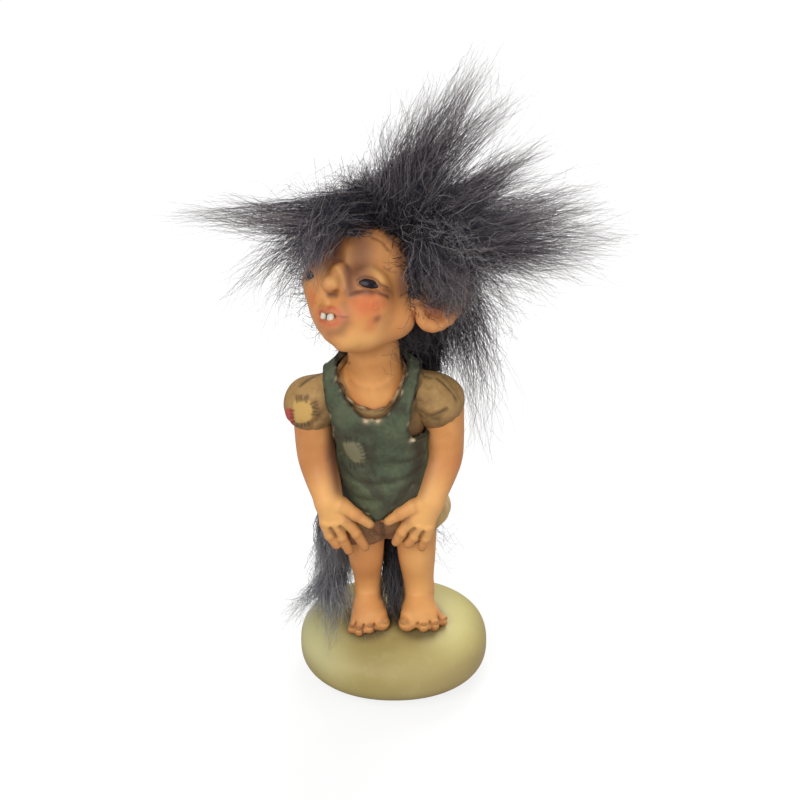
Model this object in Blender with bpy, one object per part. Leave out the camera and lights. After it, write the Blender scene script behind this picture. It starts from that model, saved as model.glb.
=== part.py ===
"""Folk elf child with wild fur hair, standing on a painted pebble.

A painted cast figure at its real size, in metres, +Z up. The origin is the middle of the
pebble's flat underside, the figure faces -Y, and the figure's own left is on the +X side.
Castings are fused from balls and tapered rods, then each is cut back by its neighbours with
one clearance, so that every piece seats on the next one and none overlaps.
"""

import bmesh
import bpy
from mathutils import Matrix, Vector
from mathutils.bvhtree import BVHTree
from math import cos, pi, radians, sin

# The gap that every casting keeps to the piece it seats on
CLEARANCE = 0.0003

# Pebble
STONE_HALF_WIDTH = 0.0247
STONE_HALF_DEPTH = 0.0220
STONE_HEIGHT = 0.0176
STONE_BELLY = 0.0080
STONE_UNDERCUT = 0.0088
STONE_PLAN_POWER = 2.15
STONE_SIDE_POWER = 2.6
STONE_RINGS = 11
STONE_SIDES = 32

# Legs and feet
STANCE = 0.0066
ANKLE_HEIGHT = 0.0058
ANKLE_SET_BACK = 0.0010
ANKLE_RADIUS = 0.0035
SHIN_LENGTH = 0.0142
SHIN_RADIUS = 0.0042
CALF_BULGE = 0.0010
KNEE_RADIUS = 0.0051
KNEE_REACH = 0.0015
THIGH_LENGTH = 0.0088
THIGH_RADIUS = 0.0056
THIGH_SET_BACK = 0.0020
LEG_LEAN = -0.0007
HEEL_REACH = 0.0030
INSTEP_RADIUS = 0.0027
TOE_REACH = 0.0098
TOE_RADIUS = 0.0016
BIG_TOE_RADIUS = 0.0023
FOOT_HALF_WIDTH = 0.0064
PEG_RADIUS = 0.0013
PEG_DEPTH = 0.0060
PEG_SIDES = 16

# Hips and trunk
HIPS_SHIFT = 0.0011
HIPS_SET_BACK = 0.0022
HIPS_RISE = 0.0006
HIP_HALF_WIDTH = 0.0148
HIP_HALF_DEPTH = 0.0105
HIP_HALF_HEIGHT = 0.0090
CUFF_RADIUS = 0.0068
WAIST_RISE = 0.0030
WAIST_REACH = 0.0010
TRUNK_LENGTH = 0.0395
TRUNK_STOOP = 0.0022
TRUNK_LEAN = -0.0054
WAIST_RADIUS = 0.0092
CHEST_RADIUS = 0.0086
CHEST_REACH = 0.0012
SHOULDER_HALF_SPAN = 0.0080
SHOULDER_RADIUS = 0.0042
NECK_LENGTH = 0.0160
NECK_RADIUS = 0.0063
NECK_LEAN = -0.0004
NECK_STOOP = 0.0015

# Clothes
SHIRT_WALL = 0.0013
TUNIC_WALL = 0.0014
TUNIC_FLARE = 0.0125
NECKLINE_HALF_WIDTH = 0.0079
NECKLINE_DROP = 0.0083
TUNIC_NECK_HALF_WIDTH = 0.0092
TUNIC_NECK_DROP = 0.0122
ARMHOLE_HALF_HEIGHT = 0.0095
SLEEVE_RADIUS = 0.0073
SLEEVE_PUFF = 0.0012

# Arms and hands
ARM_SPREAD = 0.0166
UPPER_ARM_LENGTH = 0.0150
UPPER_ARM_RADIUS = 0.0043
FOREARM_LENGTH = 0.0150
ELBOW_RADIUS = 0.0041
WRIST_RADIUS = 0.0029
PALM_LENGTH = 0.0046
PALM_RADIUS = 0.0023
FINGER_LENGTH = 0.0070
FINGER_RADIUS = 0.0013
THUMB_LENGTH = 0.0066
THUMB_RADIUS = 0.0016

# Head, with its own frame: x to the figure's left, y backwards and z up through the crown
HEAD_TURN = radians(-36)
HEAD_TILT = radians(-30)
HEAD_ROLL = radians(-10)
HEAD_RISE = 0.0114
HEAD_SHIFT = -0.0015
HEAD_REACH = 0.0008
SKULL_HALF_WIDTH = 0.0136
SKULL_HALF_DEPTH = 0.0135
SKULL_HALF_HEIGHT = 0.0132
JAW_HALF_WIDTH = 0.0114
JAW_DROP = 0.0070
CHEEK_RADIUS = 0.0052
BROW_RADIUS = 0.0017
LIP_RADIUS = 0.0016
NOSE_REACH = 0.0055
NOSE_RADIUS = 0.0028
EYE_RADIUS = 0.0022
EYE_SPACING = 0.0074
EYE_RISE = 0.0012
EAR_HALF_HEIGHT = 0.0082
EAR_HALF_WIDTH = 0.0052
EAR_HALF_THICKNESS = 0.0016
MOUTH_DROP = 0.0088
TOOTH_WIDTH = 0.0015
TOOTH_HEIGHT = 0.0022
TOOTH_DEPTH = 0.0032

# Fur
PELT_THICKNESS = 0.0036
CREST_LENGTH = 0.0440
UPPER_TUFT_LENGTH = 0.0330
FAN_LENGTH = 0.0500
FRONT_TUFT_LENGTH = 0.0430
FRINGE_LENGTH = 0.0330
SIDE_LOCK_LENGTH = 0.0590
NAPE_LENGTH = 0.0330
BACK_TUFT_LENGTH = 0.0240
TUFT_ROOT_RADIUS = 0.0055
TUFT_TIP_RADIUS = 0.0011
TAIL_LENGTH = 0.0410
TAIL_RADIUS = 0.0042
HIDE_RADIUS = 0.0012
HIDE_LENGTH = 0.0200

# How finely a fused casting is remade, and how many faces are left on it
FINE_GRAIN = 0.00045
COARSE_GRAIN = 0.00085

LEG_FACES = 620
SHORTS_FACES = 380
TORSO_FACES = 380
SHIRT_FACES = 400
TUNIC_FACES = 600
ARM_FACES = 700
SLEEVE_FACES = 300
HEAD_FACES = 1000
EAR_FACES = 240
TEETH_FACES = 90
CAP_FACES = 360
HIDE_FACES = 100
TAIL_FACES = 440

# Points nearer than this become one, and edges sharper than this stay sharp
MERGE_DISTANCE = 0.00001
SHARP_ANGLE = radians(40)

SIDES = {"left": 1, "right": -1}


def clear_scene():
    for obj in list(bpy.data.objects):
        bpy.data.objects.remove(obj)


def material(name, colour, roughness):
    made = bpy.data.materials.new(name)
    made.use_nodes = True
    shader = made.node_tree.nodes["Principled BSDF"]
    shader.inputs["Base Color"].default_value = (*colour, 1)
    shader.inputs["Roughness"].default_value = roughness
    shader.inputs["Metallic"].default_value = 0
    return made


def ball(shape, centre, radii, turn=None, detail=3):
    """Adds an ellipsoid to a bmesh. radii is one radius or three, and turn rotates it about its centre."""
    if isinstance(radii, float):
        radii = (radii, radii, radii)
    place = Matrix.Translation(centre) @ (turn or Matrix.Identity(4)) @ Matrix.Diagonal((*radii, 1))
    bmesh.ops.create_icosphere(shape, subdivisions=detail, radius=1, matrix=place)


def round_points():
    """The corners of a small ball of radius 1."""
    shape = bmesh.new()
    bmesh.ops.create_icosphere(shape, subdivisions=2, radius=1)
    points = [corner.co.copy() for corner in shape.verts]
    shape.free()
    return points


def rod(shape, start, end, start_radius, end_radius):
    """Adds a tapered rod with round ends: the hull of two balls."""
    points = round_points()
    corners = []
    for centre, radius in ((start, start_radius), (end, end_radius)):
        corners += [shape.verts.new(centre + point * radius) for point in points]
    hull = bmesh.ops.convex_hull(shape, input=corners)
    kept = {part for part in hull["geom"] if isinstance(part, bmesh.types.BMVert)}
    for corner in corners:
        if corner.is_valid and corner not in kept:
            shape.verts.remove(corner)


def limb(shape, points, radii):
    for i in range(len(points) - 1):
        rod(shape, points[i], points[i + 1], radii[i], radii[i + 1])


def object_of(name, shape):
    mesh = bpy.data.meshes.new(name)
    bmesh.ops.recalc_face_normals(shape, faces=shape.faces)
    shape.to_mesh(mesh)
    shape.free()
    obj = bpy.data.objects.new(name, mesh)
    bpy.context.scene.collection.objects.link(obj)
    return obj


def bake(obj):
    """Makes the mesh that the modifiers give the object's own."""
    graph = bpy.context.evaluated_depsgraph_get()
    mesh = bpy.data.meshes.new_from_object(obj.evaluated_get(graph))
    old = obj.data
    obj.modifiers.clear()
    obj.data = mesh
    bpy.data.meshes.remove(old)


def tidy(obj):
    """Closes hair-thin faces and drops the loose crumbs that a cut can leave beside the piece."""
    shape = bmesh.new()
    shape.from_mesh(obj.data)
    bmesh.ops.remove_doubles(shape, verts=shape.verts, dist=MERGE_DISTANCE)
    bmesh.ops.dissolve_degenerate(shape, edges=shape.edges, dist=MERGE_DISTANCE / 2)
    bmesh.ops.triangulate(shape, faces=shape.faces)
    unseen = set(shape.faces)
    islands = []
    while unseen:
        island = []
        open_faces = [unseen.pop()]
        while open_faces:
            face = open_faces.pop()
            island.append(face)
            joined = [edge for edge in face.edges if len(edge.link_faces) == 2]
            near = {other for edge in joined for other in edge.link_faces} & unseen
            unseen -= near
            open_faces.extend(near)
        islands.append(island)
    islands.sort(key=len)
    for island in islands[:-1]:
        bmesh.ops.delete(shape, geom=island, context="FACES")
    shape.to_mesh(obj.data)
    shape.free()


def fuse(name, shape, grain, faces, smoothing=3):
    """One casting from overlapping balls and rods, with its joins softened and its faces thinned."""
    # The grain starts at the piece's own low corner, so a piece that only moves keeps its mesh
    low = Vector([min(corner.co[axis] for corner in shape.verts) for axis in range(3)])
    bmesh.ops.translate(shape, verts=shape.verts, vec=-low)
    obj = object_of(name, shape)
    remesh = obj.modifiers.new("fuse", "REMESH")
    remesh.mode = "VOXEL"
    remesh.voxel_size = grain
    soften = obj.modifiers.new("soften", "SMOOTH")
    soften.factor = 0.5
    soften.iterations = smoothing
    bake(obj)
    thin(obj, faces)
    obj.data.transform(Matrix.Translation(low))
    tidy(obj)
    return obj


def copy_of(obj, name):
    copy = bpy.data.objects.new(name, obj.data.copy())
    bpy.context.scene.collection.objects.link(copy)
    copy.hide_render = True
    copy.display_type = "WIRE"
    return copy


def grown(obj):
    """A hidden copy of the piece, larger all round by the clearance."""
    copy = copy_of(obj, obj.name + "_cutter")
    swell = copy.modifiers.new("swell", "DISPLACE")
    swell.mid_level = 0
    swell.strength = CLEARANCE
    bake(copy)
    return copy


def boolean(obj, other, operation):
    join = obj.modifiers.new(operation.lower(), "BOOLEAN")
    join.operation = operation
    join.object = other
    join.use_self = True
    bake(obj)
    bpy.data.objects.remove(other)


def surface(obj):
    mesh = obj.data
    return BVHTree.FromPolygons([v.co for v in mesh.vertices], [face.vertices for face in mesh.polygons])


def thin(obj, faces):
    """Thins the mesh to about this many triangles."""
    ratio = faces / sum(len(face.vertices) - 2 for face in obj.data.polygons)
    if ratio < 1:
        fewer = obj.modifiers.new("fewer", "DECIMATE")
        fewer.ratio = ratio
        bake(obj)


def seat(obj, neighbour):
    """Cuts the piece back to one clearance from a neighbour, where the two meet."""
    cutter = grown(neighbour)
    if surface(obj).overlap(surface(cutter)):
        boolean(obj, cutter, "DIFFERENCE")
    else:
        bpy.data.objects.remove(cutter)


def cut(obj, *neighbours, faces=None):
    """Seats the piece on its neighbours. Where its mesh is thinned, what then touches is cut once more."""
    for neighbour in neighbours:
        seat(obj, neighbour)
    if faces:
        thin(obj, faces)
        for neighbour in neighbours:
            if surface(obj).overlap(surface(neighbour)):
                seat(obj, neighbour)
    tidy(obj)


def hollow(obj, centre, radii, turn=None):
    """Takes an ellipsoid out of the piece."""
    shape = bmesh.new()
    ball(shape, centre, radii, turn, detail=4)
    boolean(obj, object_of(obj.name + "_hollow", shape), "DIFFERENCE")


def slab(name, low, high):
    shape = bmesh.new()
    middle = (low + high) / 2
    place = Matrix.Translation(middle) @ Matrix.Diagonal((*(high - low), 1))
    bmesh.ops.create_cube(shape, size=1, matrix=place)
    return object_of(name, shape)


def trim_below(obj, height):
    """Cuts off everything of the piece that lies under this height."""
    reach = Vector((HIP_HALF_WIDTH, HIP_HALF_WIDTH, 0)) * 3
    boolean(obj, slab(obj.name + "_trim", -reach, reach + Vector((0, 0, height))), "DIFFERENCE")


def finish(obj, coat):
    obj.data.materials.clear()
    obj.data.materials.append(coat)
    obj.data.shade_smooth()
    obj.data.set_sharp_from_angle(angle=SHARP_ANGLE)
    return obj


def stone_rim(height):
    """How wide the pebble is at this height, as a share of its widest."""
    rise = height - STONE_BELLY
    reach = STONE_HEIGHT - STONE_BELLY if rise > 0 else STONE_UNDERCUT
    return max(0, 1 - (abs(rise) / reach) ** STONE_SIDE_POWER) ** (1 / STONE_SIDE_POWER)


def stone_top(x, y):
    """Height of the pebble's upper surface over this point of its plan."""
    plan = (abs(x) / STONE_HALF_WIDTH) ** STONE_PLAN_POWER
    plan += (abs(y) / STONE_HALF_DEPTH) ** STONE_PLAN_POWER
    share = min(0.95, plan ** (1 / STONE_PLAN_POWER))
    rise = (1 - share**STONE_SIDE_POWER) ** (1 / STONE_SIDE_POWER)
    return STONE_BELLY + (STONE_HEIGHT - STONE_BELLY) * rise


def base_stone():
    shape = bmesh.new()
    loops = []
    for i in range(STONE_RINGS):
        # Rings crowd towards the top, where the pebble turns over fastest
        height = STONE_HEIGHT * sin(pi / 2 * i / STONE_RINGS)
        loop = []
        for j in range(STONE_SIDES):
            angle = 2 * pi * j / STONE_SIDES
            across, along = cos(angle), sin(angle)
            power = 2 / STONE_PLAN_POWER
            x = STONE_HALF_WIDTH * stone_rim(height) * abs(across) ** power * (1 if across > 0 else -1)
            y = STONE_HALF_DEPTH * stone_rim(height) * abs(along) ** power * (1 if along > 0 else -1)
            loop.append(shape.verts.new((x, y, height)))
        loops.append(loop)
    for low, high in zip(loops, loops[1:]):
        for j in range(STONE_SIDES):
            after = (j + 1) % STONE_SIDES
            shape.faces.new((low[j], low[after], high[after], high[j]))
    shape.faces.new(loops[0][::-1])
    crown = shape.verts.new((0, 0, STONE_HEIGHT))
    for j in range(STONE_SIDES):
        shape.faces.new((loops[-1][j], loops[-1][(j + 1) % STONE_SIDES], crown))
    return object_of("base_stone", shape)


def peg(name, top, radius, depth):
    shape = bmesh.new()
    place = Matrix.Translation(top - Vector((0, 0, depth / 2)))
    bmesh.ops.create_cone(
        shape,
        cap_ends=True,
        segments=PEG_SIDES,
        radius1=radius,
        radius2=radius,
        depth=depth,
        matrix=place,
    )
    return object_of(name, shape)


def leg_joints(side):
    """Sole, ankle, knee and hip of one leg."""
    x = side * STANCE
    sole = Vector((x, 0, stone_top(x, 0)))
    ankle = sole + Vector((0, ANKLE_SET_BACK, ANKLE_HEIGHT))
    knee = ankle + Vector((LEG_LEAN, -KNEE_REACH, SHIN_LENGTH))
    hip = knee + Vector((-0.2 * LEG_LEAN, THIGH_SET_BACK, THIGH_LENGTH))
    return sole, ankle, knee, hip


def leg(name, side, stone):
    sole, ankle, knee, hip = leg_joints(side)
    calf = (ankle + knee) / 2 + Vector((0, CALF_BULGE, CALF_BULGE))
    shape = bmesh.new()
    limb(shape, [ankle, calf, knee, hip], [ANKLE_RADIUS, SHIN_RADIUS, KNEE_RADIUS, THIGH_RADIUS])
    ball(shape, knee - Vector((0, KNEE_RADIUS * 0.3, 0)), KNEE_RADIUS * 0.8)
    heel = sole + Vector((0, HEEL_REACH, ANKLE_RADIUS * 0.8))
    rod(shape, heel, ankle, ANKLE_RADIUS, ANKLE_RADIUS)
    instep = sole + Vector((0, -TOE_REACH * 0.35, INSTEP_RADIUS))
    rod(shape, ankle, instep, ANKLE_RADIUS, INSTEP_RADIUS)
    # Toes from the big one, on the inside, to the smallest
    widths = (-0.50, 0.06, 0.44, 0.76)
    reaches = (1.00, 0.95, 0.87, 0.74)
    for place, reach in zip(widths, reaches):
        radius = BIG_TOE_RADIUS if place < 0 else TOE_RADIUS
        x = sole.x + side * place * FOOT_HALF_WIDTH
        root = Vector((x * 0.9 + sole.x * 0.1, -TOE_REACH * reach * 0.5, 0))
        tip = Vector((x, -TOE_REACH * reach, 0))
        for point, lift in ((root, 1.3), (tip, 0.75)):
            point.z = stone_top(point.x, point.y) + lift * radius
        rod(shape, instep, root, INSTEP_RADIUS, radius * 1.25)
        rod(shape, root, tip, radius * 1.2, radius)
    made = fuse(name, shape, FINE_GRAIN, LEG_FACES, smoothing=2)
    cut(made, stone)
    boolean(made, peg("peg", ankle, PEG_RADIUS, ankle.z - sole.z + PEG_DEPTH), "UNION")
    tidy(made)
    depth = PEG_DEPTH + ANKLE_HEIGHT + CLEARANCE
    boolean(stone, peg("socket", ankle, PEG_RADIUS + CLEARANCE, depth), "DIFFERENCE")
    return made


def hips():
    _, _, _, left = leg_joints(1)
    _, _, _, right = leg_joints(-1)
    return (left + right) / 2 + Vector((HIPS_SHIFT, HIPS_SET_BACK, HIPS_RISE))


def trunk_point(share, back=0.0):
    """A point on the line from the hips to the base of the neck."""
    waist = hips() + Vector((0, -WAIST_REACH, WAIST_RISE))
    top = waist + Vector((TRUNK_LEAN, -TRUNK_STOOP, TRUNK_LENGTH))
    return waist.lerp(top, share) + Vector((0, back, 0))


def shoulder(side):
    return trunk_point(0.93) + Vector((side * SHOULDER_HALF_SPAN, 0, 0))


def shorts(legs):
    shape = bmesh.new()
    ball(shape, hips(), (HIP_HALF_WIDTH, HIP_HALF_DEPTH, HIP_HALF_HEIGHT))
    for side in SIDES.values():
        _, _, knee, hip = leg_joints(side)
        rod(shape, hip, knee.lerp(hip, 0.62), CUFF_RADIUS, CUFF_RADIUS * 0.96)
    made = fuse("shorts", shape, COARSE_GRAIN, SHORTS_FACES)
    cut(made, *legs)
    return made


def torso_core(pelvis):
    shape = bmesh.new()
    limb(shape, [trunk_point(0.05), trunk_point(0.35), trunk_point(0.8)], [WAIST_RADIUS] * 2 + [CHEST_RADIUS])
    ball(shape, trunk_point(0.72, -CHEST_REACH), (CHEST_RADIUS * 1.2, CHEST_RADIUS, CHEST_RADIUS * 1.1))
    rod(shape, shoulder(-1), shoulder(1), SHOULDER_RADIUS, SHOULDER_RADIUS)
    rod(shape, trunk_point(0.94), neck_top(), NECK_RADIUS * 1.12, NECK_RADIUS)
    made = fuse("torso_core", shape, COARSE_GRAIN, TORSO_FACES)
    cut(made, pelvis)
    return made


def neck_top():
    return trunk_point(1) + Vector((NECK_LEAN, -NECK_STOOP, NECK_LENGTH))


def shirt(inner, arms):
    """The shirt's body, and its shape before it is opened, which the clothes over it are cut by."""
    wall = SHIRT_WALL + CLEARANCE
    shape = bmesh.new()
    ball(
        shape,
        trunk_point(0.74, -CHEST_REACH),
        (CHEST_RADIUS * 1.2 + wall, CHEST_RADIUS + wall, CHEST_RADIUS * 1.1 + wall),
    )
    rod(shape, trunk_point(0.6), trunk_point(0.84), CHEST_RADIUS + wall, CHEST_RADIUS + wall)
    rod(shape, shoulder(-1), shoulder(1), SHOULDER_RADIUS + wall, SHOULDER_RADIUS + wall)
    rod(shape, trunk_point(0.9), trunk_point(1.06), NECK_RADIUS * 1.15 + wall, NECK_RADIUS * 1.1 + wall)
    made = fuse("shirt", shape, COARSE_GRAIN, SHIRT_FACES)
    form = copy_of(made, "shirt_form")
    centre = trunk_point(1.07, -0.004)
    hollow(made, centre, (NECKLINE_HALF_WIDTH, NECKLINE_HALF_WIDTH * 1.15, NECKLINE_DROP))
    cut(made, inner, *arms, faces=SHIRT_FACES * 1.7)
    return made, form


def tunic(inner, pelvis, blouse_form, arms):
    wall = SHIRT_WALL + TUNIC_WALL + 2 * CLEARANCE
    hem = trunk_point(0.045)
    shape = bmesh.new()
    ball(
        shape,
        trunk_point(0.74, -CHEST_REACH),
        (CHEST_RADIUS * 1.2 + wall, CHEST_RADIUS + wall, CHEST_RADIUS * 1.1 + wall),
    )
    rod(shape, trunk_point(0.3), trunk_point(0.84), WAIST_RADIUS + wall, CHEST_RADIUS + wall)
    ball(shape, trunk_point(0.05, -0.0005), (TUNIC_FLARE, TUNIC_FLARE * 0.94, TUNIC_FLARE * 1.3))
    rod(shape, shoulder(-1), shoulder(1), SHOULDER_RADIUS + wall, SHOULDER_RADIUS + wall)
    rod(shape, trunk_point(0.9), trunk_point(1.02), NECK_RADIUS * 1.15 + wall, NECK_RADIUS * 1.1 + wall)
    made = fuse("tunic", shape, COARSE_GRAIN, TUNIC_FACES)
    trim_below(made, hem.z)
    centre = trunk_point(1.12, -0.004)
    hollow(made, centre, (TUNIC_NECK_HALF_WIDTH, TUNIC_NECK_HALF_WIDTH * 1.2, TUNIC_NECK_DROP))
    for side in SIDES.values():
        place = shoulder(side) + Vector((side * SHOULDER_HALF_SPAN, 0, -0.3 * ARMHOLE_HALF_HEIGHT))
        hollow(made, place, (SHOULDER_HALF_SPAN * 0.9, TUNIC_FLARE, ARMHOLE_HALF_HEIGHT))
    cut(made, inner, blouse_form, pelvis, *arms, faces=TUNIC_FACES * 2)
    return made


def arm_joints(side):
    """Shoulder end, elbow and wrist of one arm."""
    top = trunk_point(0.8) + Vector((side * ARM_SPREAD, 0, 0))
    elbow = top + Vector((side * 0.02, -0.12, -0.99)).normalized() * UPPER_ARM_LENGTH
    wrist = elbow + Vector((-side * 0.30, -0.42, -0.86)).normalized() * FOREARM_LENGTH
    return top, elbow, wrist


def arm(name, side):
    top, elbow, wrist = arm_joints(side)
    shape = bmesh.new()
    limb(
        shape,
        [top, top.lerp(elbow, 0.7), elbow, elbow.lerp(wrist, 0.5), wrist],
        [UPPER_ARM_RADIUS, UPPER_ARM_RADIUS, ELBOW_RADIUS, ELBOW_RADIUS * 0.9, WRIST_RADIUS],
    )
    inner = wrist + Vector((-side * 0.75, -0.45, -0.62)) * PALM_LENGTH
    outer = wrist + Vector((side * 0.10, -0.30, -0.98)) * PALM_LENGTH
    for knuckle in (inner, outer):
        rod(shape, wrist, knuckle, WRIST_RADIUS * 0.95, PALM_RADIUS)
    rod(shape, inner, outer, PALM_RADIUS, PALM_RADIUS)
    thumb_root = wrist.lerp(inner, 0.55)
    thumb_bend = thumb_root + Vector((-side * 0.60, -0.24, 0.0)) * THUMB_LENGTH
    thumb_tip = thumb_bend + Vector((-side * 0.50, -0.10, -0.08)) * THUMB_LENGTH
    limb(shape, [thumb_root, thumb_bend, thumb_tip], [THUMB_RADIUS * 1.2, THUMB_RADIUS, THUMB_RADIUS * 0.8])
    # Three fingers, spread from the inner knuckle to the outer one
    for share, sweep in ((0.0, 0.62), (0.5, 0.48), (1.0, 0.30)):
        root = inner.lerp(outer, share)
        middle = root + Vector((-side * sweep * 0.45, -0.08, -0.45)) * FINGER_LENGTH
        tip = middle + Vector((-side * sweep * 0.4, 0.10, -0.42)) * FINGER_LENGTH
        limb(shape, [root, middle, tip], [FINGER_RADIUS * 1.25, FINGER_RADIUS, FINGER_RADIUS * 0.85])
    return fuse(name, shape, FINE_GRAIN, ARM_FACES, smoothing=1)


def sleeve(name, side, neighbours):
    top, elbow, _ = arm_joints(side)
    centre = top.lerp(elbow, 0.02) + Vector((0, 0, SLEEVE_PUFF))
    shape = bmesh.new()
    ball(shape, centre, (SLEEVE_RADIUS, SLEEVE_RADIUS, SLEEVE_RADIUS * 1.06))
    rod(shape, shoulder(side), centre, SHOULDER_RADIUS + SHIRT_WALL, SLEEVE_RADIUS * 0.86)
    made = fuse(name, shape, COARSE_GRAIN, SLEEVE_FACES)
    trim_below(made, top.z - SLEEVE_RADIUS * 0.98)
    cut(made, *neighbours, faces=SLEEVE_FACES * 1.5)
    return made


def head_frame():
    centre = neck_top() + Vector((HEAD_SHIFT, -HEAD_REACH, HEAD_RISE))
    turned = Matrix.Rotation(HEAD_TURN, 4, "Z") @ Matrix.Rotation(HEAD_TILT, 4, "X")
    return Matrix.Translation(centre) @ turned @ Matrix.Rotation(HEAD_ROLL, 4, "Y")


def on_head(x, y, z):
    """A point given in shares of the skull's half sizes, placed in the world."""
    return head_frame() @ Vector((x * SKULL_HALF_WIDTH, y * SKULL_HALF_DEPTH, z * SKULL_HALF_HEIGHT))


def skull_turn():
    return head_frame().to_3x3().to_4x4()


def eye(name, side):
    shape = bmesh.new()
    centre = head_frame() @ Vector((side * EYE_SPACING, -0.76 * SKULL_HALF_DEPTH, EYE_RISE))
    ball(shape, centre, EYE_RADIUS, detail=2)
    return object_of(name, shape)


def front_teeth():
    shape = bmesh.new()
    mouth = head_frame() @ Vector((0, -0.93 * SKULL_HALF_DEPTH, -MOUTH_DROP))
    for side in SIDES.values():
        middle = mouth + skull_turn() @ Vector((side * TOOTH_WIDTH * 0.45, 0, 0))
        place = Matrix.Translation(middle) @ skull_turn()
        size = Matrix.Diagonal((TOOTH_WIDTH, TOOTH_DEPTH, TOOTH_HEIGHT, 1))
        bmesh.ops.create_cube(shape, size=1, matrix=place @ size)
    return fuse("front_teeth", shape, FINE_GRAIN * 0.5, TEETH_FACES, smoothing=2)


def head(neighbours):
    shape = bmesh.new()
    turn = skull_turn()
    ball(shape, on_head(0, 0.18, 0.26), (SKULL_HALF_WIDTH, SKULL_HALF_DEPTH, SKULL_HALF_HEIGHT), turn)
    jaw = on_head(0, -0.26, 0) - turn @ Vector((0, 0, JAW_DROP))
    ball(shape, jaw, (JAW_HALF_WIDTH, JAW_HALF_WIDTH * 0.95, JAW_HALF_WIDTH * 0.88), turn)
    throat = neck_top() + Vector((0, 0, NECK_RADIUS * 0.3))
    rod(shape, jaw, throat, JAW_HALF_WIDTH * 0.75, NECK_RADIUS * 1.1)
    for side in SIDES.values():
        ball(shape, on_head(side * 0.52, -0.55, -0.33), CHEEK_RADIUS)
        nostril = on_head(0, -0.86, -0.26) + turn @ Vector((side * NOSE_RADIUS * 0.9, -NOSE_REACH * 0.4, 0))
        ball(shape, nostril, NOSE_RADIUS * 0.66)
        brow = [on_head(side * 0.16, -0.74, 0.27), on_head(side * 0.62, -0.62, 0.27)]
        limb(shape, brow, [BROW_RADIUS, BROW_RADIUS * 0.8])
        upper_lip = [on_head(side * 0.02, -1.02, -0.60), on_head(side * 0.36, -0.90, -0.62)]
        limb(shape, upper_lip, [LIP_RADIUS, LIP_RADIUS * 0.7])
        lower_lip = [on_head(0, -0.98, -0.86), on_head(side * 0.26, -0.88, -0.82)]
        limb(shape, lower_lip, [LIP_RADIUS * 0.9, LIP_RADIUS * 0.6])
    bridge = on_head(0, -0.80, 0.25)
    tip = on_head(0, -0.92, -0.14) + turn @ Vector((0, -NOSE_REACH * 0.75, 0))
    rod(shape, bridge, tip, NOSE_RADIUS * 0.72, NOSE_RADIUS)
    ball(shape, on_head(0, -0.70, -1.02), CHEEK_RADIUS * 0.72)
    made = fuse("head", shape, FINE_GRAIN, HEAD_FACES, smoothing=2)
    cut(made, *neighbours, faces=HEAD_FACES * 1.2)
    return made


def ear(name, side, skull):
    """A large cupped ear that leans out from the side of the head."""
    lean = Matrix.Rotation(radians(side * 52), 4, "Z") @ Matrix.Rotation(radians(side * 14), 4, "Y")
    turn = skull_turn() @ lean
    middle = on_head(side * 1.14, 0.14, -0.06)
    shape = bmesh.new()
    ball(shape, middle, (EAR_HALF_WIDTH, EAR_HALF_THICKNESS, EAR_HALF_HEIGHT), turn)
    rod(shape, on_head(side * 0.9, 0.1, -0.25), middle, EAR_HALF_THICKNESS * 1.6, EAR_HALF_THICKNESS)
    # The rolled rim, from the front of the top round to the lobe
    rim = []
    for i in range(9):
        angle = radians(70 - 200 * i / 8)
        across = side * cos(angle) * EAR_HALF_WIDTH * 0.92
        rim.append(middle + turn @ Vector((across, -EAR_HALF_THICKNESS * 0.6, sin(angle) * EAR_HALF_HEIGHT * 0.9)))
    limb(shape, rim, [EAR_HALF_THICKNESS * 0.75] * 9)
    made = fuse(name, shape, FINE_GRAIN, EAR_FACES, smoothing=1)
    cut(made, skull)
    return made


def fur_cap(neighbours):
    """The pelt backing that is glued over the crown and the back of the head."""
    shape = bmesh.new()
    size = (
        SKULL_HALF_WIDTH + PELT_THICKNESS,
        SKULL_HALF_DEPTH + PELT_THICKNESS * 0.5,
        SKULL_HALF_HEIGHT + PELT_THICKNESS,
    )
    ball(shape, on_head(0, 0.36, 0.34), size, skull_turn())
    made = fuse("fur_cap", shape, COARSE_GRAIN, CAP_FACES)
    cut(made, *neighbours, faces=CAP_FACES * 1.8)
    return made


def tuft(name, root, sprays, length, root_radius, faces, neighbours):
    """A bundle of fur as a few fused spikes. A spray is its aim and its share of the length."""
    shape = bmesh.new()
    for aim, share in sprays:
        tip = root + Vector(aim).normalized() * length * share
        rod(shape, root, tip, root_radius, TUFT_TIP_RADIUS)
    made = fuse(name, shape, COARSE_GRAIN, faces)
    cut(made, *neighbours, faces=faces * 1.2)
    return made


def beside_skull(x, y, z):
    """A point round the skull along the world's axes, given in shares of the skull's half sizes."""
    away = Vector((x * SKULL_HALF_WIDTH, y * SKULL_HALF_DEPTH, z * SKULL_HALF_HEIGHT))
    return on_head(0, 0.18, 0.26) + away


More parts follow.
